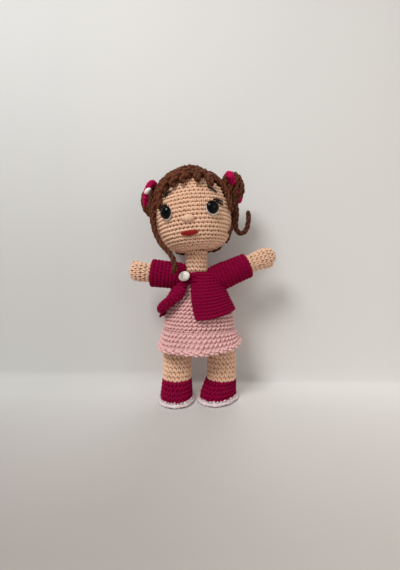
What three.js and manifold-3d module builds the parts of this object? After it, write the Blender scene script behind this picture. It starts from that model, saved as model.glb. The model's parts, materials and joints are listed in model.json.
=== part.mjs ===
// An amigurumi doll: a stuffed crocheted doll in a dress, an open jacket and boots, about 24 cm tall.
// It stands upright on its soles and faces -Y. Millimetres, +Z up. Left and right are the doll's own.
import * as THREE from "three";
import { mergeVertices } from "three/addons/utils/BufferGeometryUtils.js";
import Module from "manifold-3d";

const wasm = await Module();
wasm.setup();

const degree = Math.PI / 180;
const turn = 2 * Math.PI;

// Sizes that every piece shares
const gap = 0.3; // clearance between pieces that touch
const fabric = 2.4; // thickness of a crocheted cover
const overrun = 6; // how far a cut runs past what it cuts
const reach = 400; // how far away a probe of a surface starts
const weldDistance = 1e-4; // points closer than this are one point

// Driving sizes of the body
const legHeight = 62; // floor to hip pivot
const torsoBottom = 63.5;
const waistHeight = 70; // where the skirt starts
const shoulderHeight = 125;
const torsoTop = 124; // also the neck's pivot
const neckTop = 150; // seam between neck and head
const torsoHalfWidth = 36.9;
const torsoHalfDepth = 28;
const neckRadius = 11.25;
const neckOffset = -2.9; // the neck sits a little to the doll's right
const shoulderOffset = 25.5;
const hipOffset = 21;
const legOffset = 22.7;

// Driving sizes of the head
const headHeight = 83.5;
const headHalfWidth = 38.6;
const headHalfDepth = 36.7;
const headLean = -5 * degree; // towards the doll's right shoulder
const headTurn = -6 * degree;

// How far each arm swings down and up; sleeves and jacket are cut clear for it
const armRange = { right: [-16 * degree, 40 * degree], left: [-32 * degree, 24 * degree] };

const colours = {
  skin: 0xe2b395,
  pink: 0xeab9c3,
  magenta: 0xa3134f,
  hair: 0x6a3b28,
  white: 0xf3e9e2,
  pearl: 0xf2e6d8,
  black: 0x08080a,
  red: 0xc01418,
  filling: 0xf4f2ee,
  nylon: 0x2a2a2c,
};

// Basic building blocks

// A closed skin over a stack of rings. Each ring is a list of points, and the first or last one may be a
// single point. A looped stack joins its last ring to its first.
function skin(rings, looped = false) {
  const sides = Math.max(...rings.map((ring) => (Array.isArray(ring) ? ring.length : 1)));
  const points = [];
  const starts = rings.map((ring) => {
    const start = points.length;
    points.push(...(Array.isArray(ring) ? ring : [ring]));
    return Array.isArray(ring) ? start : -start - 1;
  });
  const faces = [];
  const fan = (ringStart, tip, flipped) => {
    for (let j = 0; j < sides; j++) {
      const a = ringStart + j;
      const b = ringStart + ((j + 1) % sides);
      faces.push(...(flipped ? [tip, b, a] : [tip, a, b]));
    }
  };
  const count = looped ? rings.length : rings.length - 1;
  for (let i = 0; i < count; i++) {
    const lower = starts[i];
    const upper = starts[(i + 1) % rings.length];
    if (lower < 0) fan(upper, -lower - 1, false);
    else if (upper < 0) fan(lower, -upper - 1, true);
    else
      for (let j = 0; j < sides; j++) {
        const k = (j + 1) % sides;
        faces.push(lower + j, upper + k, lower + k, lower + j, upper + j, upper + k);
      }
  }
  if (!looped)
    [0, rings.length - 1].forEach((i) => {
      if (!Array.isArray(rings[i])) return;
      const middle = rings[i].reduce((sum, p) => sum.add(p), new THREE.Vector3()).divideScalar(sides);
      points.push(middle);
      fan(starts[i], points.length - 1, i > 0);
    });
  return facedOut(points, faces);
}

// A geometry of points and triangles, turned inside out if its volume is negative
function facedOut(points, faces) {
  let volume = 0;
  for (let i = 0; i < faces.length; i += 3) {
    const [a, b, c] = [points[faces[i]], points[faces[i + 1]], points[faces[i + 2]]];
    volume += a.dot(b.clone().cross(c));
  }
  if (volume < 0)
    for (let i = 0; i < faces.length; i += 3) [faces[i + 1], faces[i + 2]] = [faces[i + 2], faces[i + 1]];
  const geometry = new THREE.BufferGeometry().setFromPoints(points);
  geometry.setIndex(faces);
  geometry.computeVertexNormals();
  return geometry;
}

// A level ring: an ellipse, squared off a little where its fullness is over 1
function ring({ z, width, depth, x = 0, y = 0, sides, fullness = 1, inset = 0 }) {
  const points = [];
  for (let j = 0; j < sides; j++) {
    const angle = (turn * j) / sides;
    const [c, s] = [Math.cos(angle), Math.sin(angle)];
    const swell = 1 + (fullness - 1) * Math.sin(2 * angle) ** 2;
    points.push(new THREE.Vector3(x + (width - inset) * c * swell, y + (depth - inset) * s * swell, z));
  }
  return points;
}

// The rings of a form whose outline is a table of [height, half width, half depth, x, y]
function stack(outline, sides, inset = 0, fullness = 1) {
  return outline.map(([z, width, depth, x = 0, y = 0]) =>
    width > inset ? ring({ z, width, depth, x, y, sides, inset, fullness }) : new THREE.Vector3(x, y, z),
  );
}

function toSolid(geometry) {
  const bare = new THREE.BufferGeometry().setAttribute("position", geometry.getAttribute("position"));
  bare.setIndex(geometry.index);
  const merged = mergeVertices(bare, weldDistance);
  return new wasm.Manifold(
    new wasm.Mesh({
      numProp: 3,
      vertProperties: new Float32Array(merged.attributes.position.array),
      triVerts: new Uint32Array(merged.index.array),
    }),
  );
}

function toGeometry(solid) {
  const mesh = solid.getMesh();
  const geometry = new THREE.BufferGeometry();
  const places = new Float32Array(mesh.numVert * 3);
  for (let i = 0; i < mesh.numVert; i++)
    places.set(mesh.vertProperties.subarray(i * mesh.numProp, i * mesh.numProp + 3), i * 3);
  geometry.setAttribute("position", new THREE.BufferAttribute(places, 3));
  geometry.setIndex(new THREE.BufferAttribute(new Uint32Array(mesh.triVerts), 1));
  geometry.computeVertexNormals();
  return geometry;
}

// A geometry with others cut away from it
function cut(geometry, ...tools) {
  return toGeometry(tools.reduce((solid, tool) => solid.subtract(toSolid(tool)), toSolid(geometry)));
}

function joined(...geometries) {
  return toGeometry(geometries.map((geometry) => toSolid(geometry)).reduce((sum, solid) => sum.add(solid)));
}

function moved(geometry, x, y, z) {
  return geometry.clone().translate(x, y, z);
}

function turned(geometry, axis, angle, centre) {
  const matrix = new THREE.Matrix4()
    .makeTranslation(centre)
    .multiply(new THREE.Matrix4().makeRotationAxis(axis, angle))
    .multiply(new THREE.Matrix4().makeTranslation(centre.clone().negate()));
  return geometry.clone().applyMatrix4(matrix);
}

function ball(radius, centre = new THREE.Vector3(), sides = 12) {
  return new THREE.SphereGeometry(radius, sides, sides / 2).translate(centre.x, centre.y, centre.z);
}

// A ball whose flat faces, too, stay a gap outside a ball of the given radius
function socket(radius, centre, sides = 14) {
  return ball((radius + gap) / Math.cos(turn / 2 / sides) ** 2, centre, sides);
}

function disc(radius, low, high, sides = 12) {
  return new THREE.CylinderGeometry(radius, radius, high - low, sides)
    .rotateX(turn / 4)
    .translate(0, 0, (low + high) / 2);
}

// A round section drawn along a curve through places
function tube(places, radius, sides, steps) {
  const section = new THREE.Shape();
  for (let j = 0; j < sides; j++) {
    const angle = (turn * j) / sides;
    section[j ? "lineTo" : "moveTo"](radius * Math.cos(angle), radius * Math.sin(angle));
  }
  const extrudePath = new THREE.CatmullRomCurve3(places, false, "centripetal");
  return new THREE.ExtrudeGeometry(section, { steps, extrudePath, curveSegments: sides });
}

// A piece of cloth between two surfaces, each given by a function of the shares along and up it
function sheet(outside, inside, along, up) {
  const points = [];
  const grid = [outside, inside].map((surface) => {
    const start = points.length;
    for (let i = 0; i <= up; i++)
      for (let j = 0; j <= along; j++) points.push(surface(j / along, i / up));
    return (i, j) => start + i * (along + 1) + j;
  });
  const faces = [];
  const quad = (a, b, c, d) => faces.push(a, b, c, a, c, d);
  const [outer, inner] = grid;
  for (let i = 0; i < up; i++)
    for (let j = 0; j < along; j++) {
      quad(outer(i, j), outer(i, j + 1), outer(i + 1, j + 1), outer(i + 1, j));
      quad(inner(i, j), inner(i + 1, j), inner(i + 1, j + 1), inner(i, j + 1));
    }
  for (let j = 0; j < along; j++) {
    quad(outer(0, j), inner(0, j), inner(0, j + 1), outer(0, j + 1));
    quad(outer(up, j), outer(up, j + 1), inner(up, j + 1), inner(up, j));
  }
  for (let i = 0; i < up; i++) {
    quad(outer(i, 0), outer(i + 1, 0), inner(i + 1, 0), inner(i, 0));
    quad(outer(i, along), inner(i, along), inner(i + 1, along), outer(i + 1, along));
  }
  return facedOut(points, faces);
}

// Every second row of a table, and its last
const coarse = (rows) => rows.filter((_, i) => i % 2 === 0 || i === rows.length - 1);

// A value read from a table of [place, value] pairs by straight lines between them
function readTable(table, place) {
  const after = table.findIndex(([at]) => at >= place);
  if (after < 0) return table[table.length - 1][1];
  if (after === 0) return table[0][1];
  const [[x0, y0], [x1, y1]] = [table[after - 1], table[after]];
  return y0 + ((y1 - y0) * (place - x0)) / (x1 - x0);
}

// Where a straight probe first meets a geometry, with the surface's smooth normal there
const probe = new THREE.Raycaster();
function meet(geometry, origin, direction) {
  const mesh = new THREE.Mesh(geometry);
  probe.set(origin, direction.clone().normalize());
  const [hit] = probe.intersectObject(mesh);
  return hit && { point: hit.point, normal: (hit.normal ?? hit.face.normal).clone().normalize() };
}

// The pieces, added to the group that carries them
const doll = new THREE.Group();

function add(name, geometry, colour, look = {}, parent = doll) {
  const { roughness = 0.85, metalness = 0 } = look;
  const material = new THREE.MeshStandardMaterial({ color: colours[colour], roughness, metalness });
  const mesh = new THREE.Mesh(geometry, material);
  mesh.name = name;
  parent.add(mesh);
  return mesh;
}

const sideSign = { right: -1, left: 1 };
const yAxis = new THREE.Vector3(0, 1, 0);
const neckPivot = new THREE.Vector3(neckOffset, 0, torsoTop);
const shoulderPlace = (side) => new THREE.Vector3(sideSign[side] * shoulderOffset, 0, shoulderHeight);
const hipPlace = (side) => new THREE.Vector3(sideSign[side] * hipOffset, 0, legHeight);

// Arms: each is a stuffed tube that starts as a ball in the shoulder and ends as a mitten with a thumb.
// Built along local +Z. Local X points up on the right arm and down on the left one.
const shoulderRadius = 10;
const sleeveBallRadius = 14;
const knotRadius = 3.6;
const arms = {
  right: {
    rise: 6 * degree,
    length: 47,
    sleeve: 22.8,
    sleeveRadius: 14.3,
    wristRadius: 9.6,
    palmRadius: 10.4,
    palmDepth: 9.4,
    thumb: { along: 39.5, aside: 6.8, long: 6.4, radius: 4.3, lean: 20 * degree },
  },
  left: {
    rise: 23.5 * degree,
    length: 57.5,
    sleeve: 26,
    sleeveRadius: 12.8,
    wristRadius: 8.9,
    palmRadius: 10.2,
    palmDepth: 9,
    thumb: { along: 43, aside: 7.2, long: 9.4, radius: 4.2, lean: 14 * degree },
  },
};
const armSides = 12;

// Heights of the hand's sections as shares of its length, and their sizes as shares of the palm's
const handShares = [
  [0.25, 0.94],
  [0.52, 1],
  [0.76, 0.94],
  [0.91, 0.68],
  [0.98, 0.34],
];
const ballShares = [-0.92, -0.7, -0.38, 0];

function armOutline(arm, inset) {
  const shoulder = shoulderRadius - inset;
  const hand = arm.length - arm.sleeve;
  const outline = [[-shoulder, 0, 0]];
  ballShares.forEach((share) => {
    const radius = shoulder * Math.sqrt(1 - share * share);
    outline.push([shoulder * share, radius, radius]);
  });
  const wrist = arm.wristRadius - inset;
  outline.push([arm.sleeve / 2, (shoulder + wrist) / 2, (shoulder + wrist) / 2]);
  outline.push([arm.sleeve, wrist, wrist]);
  handShares.forEach(([along, wide]) => {
    const z = arm.sleeve + (hand - inset) * along;
    outline.push([z, arm.palmRadius * wide - inset, arm.palmDepth * wide - inset]);
  });
  outline.push([arm.length - inset, 0, 0]);
  return outline;
}

function thumb(arm) {
  const { along, aside, long, radius, lean } = arm.thumb;
  const shape = new THREE.SphereGeometry(radius, 8, 6).scale(1, 1, long / radius);
  return shape.rotateY(lean).translate(aside, 0, along);
}

// The sleeve is a tube round the arm that starts as part of a ball, so that it can turn in the armhole
const sleeveBallShares = [-0.42, -0.16, 0.12, 0.4];
function sleeveTube(arm) {
  const outer = [];
  const inner = [];
  sleeveBallShares.forEach((share) => {
    const z = sleeveBallRadius * share;
    const radius = Math.sqrt(sleeveBallRadius ** 2 - z ** 2);
    outer.push(ring({ z, width: radius, depth: radius, sides: armSides }));
  });
  const roundRing = (z, radius) => ring({ z, width: radius, depth: radius, sides: armSides });
  const bore = shoulderRadius + gap;
  const start = sleeveBallRadius * sleeveBallShares[0];
  outer.push(roundRing(arm.sleeve, arm.sleeveRadius));
  inner.push(roundRing(arm.sleeve, arm.sleeveRadius - fabric));
  inner.push(roundRing(0, bore));
  inner.push(roundRing(start, bore));
  return skin([...outer, ...inner], true);
}

// The arm's own frame: at the shoulder, +Z along the arm
function armFrame(side) {
  const frame = new THREE.Group();
  frame.position.copy(shoulderPlace(side));
  frame.rotation.y = sideSign[side] * (turn / 4 - arms[side].rise);
  frame.updateMatrixWorld(true);
  return frame;
}

// Torso: heights as shares from its bottom to its top, then half width and half depth as shares
const torsoShares = [
  [0, 0.83, 0.84],
  [0.05, 0.92, 0.9],
  [0.1, 0.935, 0.915],
  [0.118, 0.995, 0.99],
  [0.2, 1, 1],
  [0.32, 0.975, 0.985],
  [0.46, 0.89, 0.92],
  [0.61, 0.785, 0.85],
  [0.76, 0.675, 0.73],
  [0.89, 0.59, 0.62],
  [1, 0.54, 0.5],
];
const torsoSides = 20;
const torsoHeight = torsoTop - torsoBottom;
const torsoOutline = torsoShares.map(([up, wide, deep]) => [
  torsoBottom + torsoHeight * up,
  torsoHalfWidth * wide,
  torsoHalfDepth * deep,
]);

function torsoForm(inset, rows = torsoOutline, sides = torsoSides) {
  const squeeze = (z) => torsoBottom + inset + ((z - torsoBottom) * (torsoHeight - 2 * inset)) / torsoHeight;
  const outline = rows.map(([z, width, depth]) => [squeeze(z), width, depth]);
  return skin(stack(outline, sides, inset));
}

const torsoInside = (inset) => torsoForm(inset, coarse(torsoOutline), torsoSides / 2);

// The torso's half width and half depth at a height
const torsoWidthAt = (z) => readTable(torsoOutline.map(([at, width]) => [at, width]), z);
const torsoDepthAt = (z) => readTable(torsoOutline.map(([at, , depth]) => [at, depth]), z);

// Legs: a barrel that turns in the hip, tapering to a straight leg
const hipRadius = 17;
const hipHalfWidth = 10.6;
const legRadius = 14.8;
const ankleHeight = 21;
const ankleRadius = 14.9;
const legSides = 14;
const hipShares = [0.93, 0.75, 0.42, 0];
const legShares = [
  [0.14, 0.32],
  [0.3, 0.72],
  [0.46, 1],
];

// The leg's sections, from its top down to the ankle, in the doll's frame
function legOutline(side, inset) {
  const sign = sideSign[side];
  const round = hipRadius - inset;
  const outline = [[legHeight + round, 0, 0, sign * hipOffset]];
  hipShares.forEach((share) => {
    const across = Math.sqrt(1 - share * share);
    const half = (hipHalfWidth - inset) * across;
    outline.push([legHeight + round * share, half, round * across, sign * hipOffset]);
  });
  legShares.forEach(([down, blend]) => {
    const z = legHeight - (legHeight - ankleHeight) * down;
    const width = hipHalfWidth + (legRadius - hipHalfWidth) * blend - inset;
    const depth = hipRadius + (legRadius - hipRadius) * blend - inset;
    outline.push([z, width, depth, sign * (hipOffset + (legOffset - hipOffset) * blend)]);
  });
  outline.push([ankleHeight + gap, ankleRadius - inset, ankleRadius - inset, sign * legOffset]);
  return outline;
}

function legForm(side, inset, sides = legSides) {
  return skin(stack(legOutline(side, inset), sides));
}

// The hollow in the torso that a hip's barrel turns in
function hipSocket(side) {
  const { x, y, z } = hipPlace(side);
  const flatten = (hipHalfWidth + gap) / (hipRadius + gap);
  return socket(hipRadius).scale(flatten, 1, 1).translate(x, y, z);
}

const torsoCuts = [socket(neckRadius, neckPivot)];
["right", "left"].forEach((side) => {
  torsoCuts.push(socket(shoulderRadius, shoulderPlace(side)));
  torsoCuts.push(hipSocket(side));
});

add("torso_cover", cut(torsoForm(0), torsoInside(fabric), ...torsoCuts), "pink");
add("torso_filling", cut(torsoInside(fabric + gap), ...torsoCuts), "filling");

// Neck: a stuffed tube on a ball that sits in the torso. Its top is square to the leaning head.
const neckSides = 14;
const headFrameMatrix = new THREE.Matrix4().compose(
  new THREE.Vector3(neckOffset, 0, neckTop),
  new THREE.Quaternion().setFromEuler(new THREE.Euler(0, headLean, 0)),
  new THREE.Vector3(1, 1, 1),
);
const neckBallShares = [-0.9, -0.64, -0.32, 0];
const neckSway = 2.9; // how far the nodding neck moves beside the sleeves

// The neck up to one or more levels above the head's bottom
function neckForm(inset, ...tops) {
  const radius = neckRadius - inset;
  const rings = [new THREE.Vector3(neckOffset, 0, torsoTop - radius)];
  neckBallShares.forEach((share) => {
    const width = radius * Math.sqrt(1 - share * share);
    rings.push(ring({ z: torsoTop + radius * share, width, depth: width, x: neckOffset, sides: neckSides }));
  });
  tops.forEach((z) => {
    const top = ring({ z, width: radius, depth: radius, sides: neckSides });
    rings.push(top.map((p) => p.applyMatrix4(headFrameMatrix)));
  });
  return skin(rings);
}

add("neck_cover", cut(neckForm(0, -gap), neckForm(fabric, -gap, overrun)), "skin");
add("neck_filling", neckForm(fabric + gap, -gap), "filling");

// Skirt: a flared ring under the bodice, with gentle waves at its hem and a rope-like edging below it
const skirtTopHalfWidth = 37.4;
const skirtTopHalfDepth = 28.6;
const hemHalfWidth = 42.6;
const hemHalfDepth = 36;
const hemHeight = 53;
const hemLift = 5.5; // how much higher the hem hangs at the doll's left side
const hemWave = 0.9;
const hemWaves = 7;
const flareCurve = 1.3; // how late the skirt's flare comes
const edgingRadius = 2.1;
const skirtSides = 28;
const skirtSteps = 3;

function skirtPoint(angle, down, inset, drop = 0) {
  const flare = down ** flareCurve;
  const wave = hemWave * down * Math.sin(hemWaves * angle);
  const width = skirtTopHalfWidth + (hemHalfWidth - skirtTopHalfWidth) * flare + wave - inset;
  const depth = skirtTopHalfDepth + (hemHalfDepth - skirtTopHalfDepth) * flare + wave - inset;
  const lift = hemLift * Math.max(0, Math.cos(angle)) ** 2;
  const z = waistHeight - gap - (waistHeight - gap - hemHeight - lift) * down - drop;
  return new THREE.Vector3(width * Math.cos(angle), depth * Math.sin(angle), z);
}

function skirtRing(down, inset, drop) {
  return Array.from({ length: skirtSides }, (_, j) => skirtPoint((turn * j) / skirtSides, down, inset, drop));
}

const skirtRings = [];
for (let i = 0; i <= skirtSteps; i++) skirtRings.push(skirtRing(i / skirtSteps, 0));
for (let i = skirtSteps; i >= 0; i--) skirtRings.push(skirtRing(i / skirtSteps, fabric));
add("skirt", skin(skirtRings, true), "pink");

const edgingSides = 6;
const edgingMiddle = fabric / 2;
const edgingRings = Array.from({ length: edgingSides }, (_, k) => {
  const angle = (turn * k) / edgingSides;
  const inset = edgingMiddle + edgingRadius * Math.cos(angle);
  const drop = gap + edgingRadius * (1 + Math.sin(angle));
  return skirtRing(1, inset, drop);
});
add("skirt_edging", skin(edgingRings, true), "pink");

// Jacket body: one cloth round the back and both fronts, open at the front, with two armholes.
// Its inner surface's sections: height, half width, half depth.
const jacketThickness = 2.5;
const jacketBottom = 83.5;
const jacketTop = 127.4;
const jacketFlare = 1.8;
const jacketLift = 8; // how much higher the hem hangs at the doll's left side
const jacketRoom = 0.6; // between the torso and the cloth
const jacketNeckHalfWidth = 15.8;
const jacketNeckHalfDepth = 13.6;
const jacketHeight = jacketTop - jacketBottom;
const jacketHeights = torsoOutline.map(([z]) => z).filter((z) => z > jacketBottom + overrun);
jacketHeights.unshift(jacketBottom);
jacketHeights.push(jacketTop);

function jacketSection(up) {
  const z = jacketBottom + jacketHeight * up;
  const flare = jacketFlare * (1 - up) ** 2 + jacketRoom;
  const neckWidth = Math.min(1, Math.max(0, (z - torsoTop) / (jacketTop - torsoTop)));
  const width = torsoWidthAt(z) + flare;
  const depth = torsoDepthAt(z) + flare;
  return {
    z,
    width: width + (jacketNeckHalfWidth - width) * neckWidth,
    depth: depth + (jacketNeckHalfDepth - depth) * neckWidth,
  };
}

// The angles where the two fronts end, counted from the doll's left side, by share of the height
const leftEdgeShares = [
  [0, -95 * degree],
  [0.12, -99 * degree],
  [0.6, -109 * degree],
  [0.92, -114 * degree],
  [1, -116 * degree],
];
const rightEdgeShares = [
  [0, 200 * degree],
  [0.12, 204 * degree],
  [0.4, 224 * degree],
  [0.6, 238 * degree],
  [0.7, 246 * degree],
  [0.92, 243 * degree],
  [1, 241 * degree],
];

function jacketPoint(along, up, outset) {
  const from = readTable(leftEdgeShares, up);
  const to = readTable(rightEdgeShares, up);
  const angle = from + (to - from) * along;
  const lift = jacketLift * Math.max(0, Math.cos(angle)) ** 2 * (1 - up);
  const { z, width, depth } = jacketSection(up + lift / jacketHeight);
  return new THREE.Vector3((width + outset) * Math.cos(angle), (depth + outset) * Math.sin(angle), z);
}

const jacketRows = jacketHeights.length - 1;
const jacketColumns = 26;
const rowShare = (up) => (jacketHeights[Math.round(up * jacketRows)] - jacketBottom) / jacketHeight;
const jacketCloth = sheet(
  (along, up) => jacketPoint(along, rowShare(up), jacketThickness),
  (along, up) => jacketPoint(along, rowShare(up), 0),
  jacketColumns,
  jacketRows,
);

// The lower corner of the right front is rolled outwards along its slanting edge
const rollShares = [
  [0.66, 0.45],
  [0.5, 0.8],
  [0.34, 1],
  [0.2, 1],
  [0.08, 0.9],
];
const rollRadius = 4.6;
const rollSitShare = 0.75; // how far out of the cloth the roll's middle line lies
const rollPlaces = rollShares.map(([up, size]) =>
  jacketPoint(1, up, jacketThickness / 2 + rollRadius * size * rollSitShare),
);
const roll = tube(rollPlaces, rollRadius, 8, 7);

// Sleeves are cut clear of the torso at every height of the arm, and the jacket clear of the sleeves
const sweepSteps = 3;
function sleeveForm(side) {
  const toArm = armFrame(side).matrixWorld.clone().invert();
  const [low, high] = armRange[side];
  let solid = toSolid(sleeveTube(arms[side]));
  const body = joined(torsoForm(-gap), neckForm(-neckSway, 0));
  for (let i = 0; i <= sweepSteps; i++) {
    const angle = low + ((high - low) * i) / sweepSteps;
    const shifted = turned(body, yAxis, angle * sideSign[side], shoulderPlace(side)).applyMatrix4(toArm);
    solid = solid.subtract(toSolid(shifted));
  }
  return toGeometry(solid);
}

function armClearance(side) {
  const [low, high] = armRange[side];
  const frame = armFrame(side);
  const pieces = [socket(sleeveBallRadius, shoulderPlace(side), 18)];
  const { sleeve, sleeveRadius } = arms[side];
  const room = disc(sleeveRadius + gap, 0, sleeve, armSides).applyMatrix4(frame.matrixWorld);
  [low, 0, high].forEach((angle) =>
    pieces.push(turned(room, yAxis, -angle * sideSign[side], shoulderPlace(side))),
  );
  return pieces;
}

const jacketBody = cut(
  joined(jacketCloth, roll),
  torsoForm(-gap),
  ...armClearance("right"),
  ...armClearance("left"),
);
add("jacket_body", jacketBody, "magenta");

["right", "left"].forEach((side) => {
  const arm = arms[side];
  const frame = armFrame(side);
  const outside = joined(skin(stack(armOutline(arm, 0), armSides)), thumb(arm));
  const hollow = skin(stack(armOutline(arm, fabric), armSides / 2));
  const stuffing = skin(stack(armOutline(arm, fabric + gap), armSides / 2));
  const mouth = disc(knotRadius + 2 * gap, -shoulderRadius - overrun, 0, 8);
  const pocket = socket(knotRadius, new THREE.Vector3(), 8);
  add(side + "_arm_cover", cut(outside, hollow, mouth), "skin", {}, frame);
  add(side + "_arm_filling", cut(stuffing, pocket, mouth), "filling", {}, frame);
  add(side + "_shoulder_yarn", ball(knotRadius, new THREE.Vector3(), 8), "skin", {}, frame);
  add(side + "_sleeve", sleeveForm(side), "magenta", {}, frame);
  doll.add(frame);
});

// Legs and boots
const soleThickness = 2.6;
const bootSides = 16;
const bootWall = 2.2;
const trimWidth = 1.9;
const trimLow = 0.9;
const trimHigh = 4.6;
const bootFootWidth = 15.9;
const bootFootDepth = 21.4;
const bootFootShift = -5.4;
const boots = { right: 0, left: -40 * degree };
// Boot sections: height share, then how far the foot's shape has turned into the ankle's
const bootShares = [
  [0, 0],
  [0.35, 0.14],
  [0.7, 0.56],
  [1, 1],
];
const bootFullness = 1.035;

function bootOutline(inset, low, high) {
  return bootShares.map(([up, blend]) => [
    low + (high - low) * up,
    bootFootWidth + (ankleRadius - bootFootWidth) * blend - inset,
    bootFootDepth + (ankleRadius - bootFootDepth) * blend - inset,
    0,
    bootFootShift * (1 - blend),
  ]);
}

const bootRings = (inset, low, high) => stack(bootOutline(inset, low, high), bootSides, 0, bootFullness);

// A ring of the foot's own outline, moved outwards
const footRing = (z, outset) =>
  ring({
    z,
    width: bootFootWidth,
    depth: bootFootDepth,
    y: bootFootShift,
    sides: bootSides,
    fullness: bootFullness,
    inset: -outset,
  });

["right", "left"].forEach((side) => {
  const sign = sideSign[side];
  const inner = legForm(side, fabric, legSides / 2);
  const below = disc(ankleRadius - fabric, 0, ankleHeight, legSides).translate(sign * legOffset, 0, 0);
  add(side + "_leg_cover", cut(legForm(side, 0), inner, moved(below, 0, 0, overrun)), "skin");

  const foot = new THREE.Group();
  foot.position.x = sign * legOffset;
  foot.rotation.z = boots[side];
  foot.updateMatrixWorld(true);
  const bottom = soleThickness + gap;
  const outer = bootRings(0, bottom, ankleHeight);
  const inside = bootRings(bootWall, bottom, ankleHeight);
  add(side + "_boot_upper", skin([...outer, ...inside.reverse()], true), "magenta", {}, foot);

  const stuffing = skin(bootRings(bootWall + gap, bottom, ankleHeight)).applyMatrix4(foot.matrixWorld);
  const link = disc(ankleRadius - fabric - 4 * gap, ankleHeight - gap, ankleHeight + fabric, legSides);
  const filling = joined(
    legForm(side, fabric + gap, legSides / 2),
    stuffing,
    link.translate(sign * legOffset, 0, 0),
  );
  add(side + "_leg_filling", filling, "filling");

  add(side + "_boot_sole", skin([footRing(0, 0), footRing(soleThickness, 0)]), "magenta", {}, foot);
  const trimMiddle = (trimLow + trimHigh) / 2;
  const trim = skin(
    [
      footRing(trimLow, gap),
      footRing(trimLow, gap + trimWidth / 2),
      footRing(trimMiddle, gap + trimWidth),
      footRing(trimHigh, gap + trimWidth / 2),
      footRing(trimHigh, gap),
    ],
    true,
  );
  add(side + "_boot_trim", trim, "white", {}, foot);
  doll.add(foot);
});

// Pearl button at the neck of the jacket, with the yarn loop that holds it
const buttonHalfLength = 5.7;
const buttonHalfHeight = 4.7;
const buttonHalfDepth = 3.1;
const buttonX = -12;
const buttonDrop = 6.7; // below the jacket's top
const buttonTilt = -22 * degree;
const buttonTurn = -20 * degree; // it faces a little to the doll's right, as the cloth under it does
const buttonRoom = 1.8; // left for the loop between button and cloth
const loopRadius = 0.7;
const shankRadius = 0.7;
const buttonHeight = jacketTop - buttonDrop;
const clothFront = skin(
  jacketHeights.map((height) => {
    const { z, width, depth } = jacketSection((height - jacketBottom) / jacketHeight);
    return ring({ z, width, depth, sides: 48, inset: -jacketThickness });
  }),
);
const onCloth = (x, z) => meet(clothFront, new THREE.Vector3(x, -reach, z), yAxis);
const buttonLift = buttonHalfDepth + 2 * loopRadius + buttonRoom;
const buttonSeat = onCloth(buttonX, buttonHeight);
const buttonPlace = buttonSeat.point.clone().addScaledVector(buttonSeat.normal, buttonLift);
const shankPlaces = [buttonPlace, buttonSeat.point.clone().addScaledVector(buttonSeat.normal, gap)];
const buttonBall = new THREE.SphereGeometry(buttonHalfLength, 14, 8)
  .scale(1, buttonHalfDepth / buttonHalfLength, buttonHalfHeight / buttonHalfLength)
  .rotateY(buttonTilt)
  .rotateZ(buttonTurn)
  .translate(buttonPlace.x, buttonPlace.y, buttonPlace.z);
const shank = tube(shankPlaces, shankRadius, 6, 1);
add("pearl_button", joined(buttonBall, shank), "pearl", { roughness: 0.2 });

// The loop starts on the left front, passes under the button and comes back
const loopReach = 9;
const loopShares = [
  [1, 0.24],
  [0.6, 0.3],
  [0.2, 0.34],
  [-0.1, 0.2],
  [-0.2, 0],
  [-0.1, -0.2],
  [0.2, -0.34],
  [0.6, -0.3],
  [1, -0.24],
];
const loopPlaces = loopShares.map(([across, up]) => {
  const { point, normal } = onCloth(buttonX + loopReach * across, buttonHeight + loopReach * up);
  return point.addScaledVector(normal, loopRadius + gap);
});
add("button_loop", tube(loopPlaces, loopRadius, 6, 16), "magenta");

// Head: everything on it sits in the head's own frame, which leans and turns a little
const head = new THREE.Group();
head.position.set(neckOffset, 0, neckTop);
head.rotation.set(0, headLean, headTurn);
head.updateMatrixWorld(true);
doll.add(head);

const headSides = 24;
// Heights and half widths of the head's sections, as shares of its height and half width
const headShares = [
  [1, 0],
  [0.978, 0.21],
  [0.935, 0.39],
  [0.86, 0.59],
  [0.766, 0.765],
  [0.66, 0.895],
  [0.54, 0.975],
  [0.42, 1],
  [0.3, 0.988],
  [0.198, 0.935],
  [0.125, 0.87],
  [0.06, 0.765],
  [0.018, 0.6],
  [0, 0.42],
];

function headOutline(inset) {
  const tall = headHeight - 2 * inset;
  return headShares.map(([up, wide]) => [
    inset + tall * up,
    Math.max(headHalfWidth * wide - (wide ? inset : 0), 0),
    Math.max(headHalfDepth * wide - (wide ? inset : 0), 0),
  ]);
}

const headForm = (inset) => skin(stack(headOutline(inset), headSides));
const headInside = (inset) => skin(stack(coarse(headOutline(inset)), headSides / 2));
const headSurface = headForm(0);
const headMiddle = new THREE.Vector3(0, 0, headHeight / 2);

// The point on the face in front of a place given by x and height, with its normal
const onFace = (x, z) => meet(headSurface, new THREE.Vector3(x, -reach, z), yAxis);

// The point on the head in a direction from its middle, given in degrees: azimuth counts from the face to
// the doll's left, and elevation from level
function onHead(azimuth, elevation, lift) {
  const [around, up] = [azimuth * degree, elevation * degree];
  const outward = new THREE.Vector3(
    Math.sin(around) * Math.cos(up),
    -Math.cos(around) * Math.cos(up),
    Math.sin(up),
  );
  const start = headMiddle.clone().addScaledVector(outward, reach);
  const { point, normal } = meet(headSurface, start, outward.negate());
  return point.addScaledVector(normal, lift);
}

// Eyes: a black dome on a stem through a white backing and the head's cover, locked by a washer inside
const eyeX = 20.3;
const eyeHeight = 33.6;
const eyeRadius = 6;
const eyeDome = 3.8;
const eyeRim = 0.9;
const stemRadius = 2.1;
const stemLength = 13;
const whiteRadius = 6.5;
const whiteThickness = 0.8;
const whiteShift = 0.55; // outwards and down, where it shows as a crescent
const washerRadius = 5.2;
const washerThickness = 1.3;
const eyeSides = 16;
const domeShares = [0, 0.4, 0.74, 0.94, 1];

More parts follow.
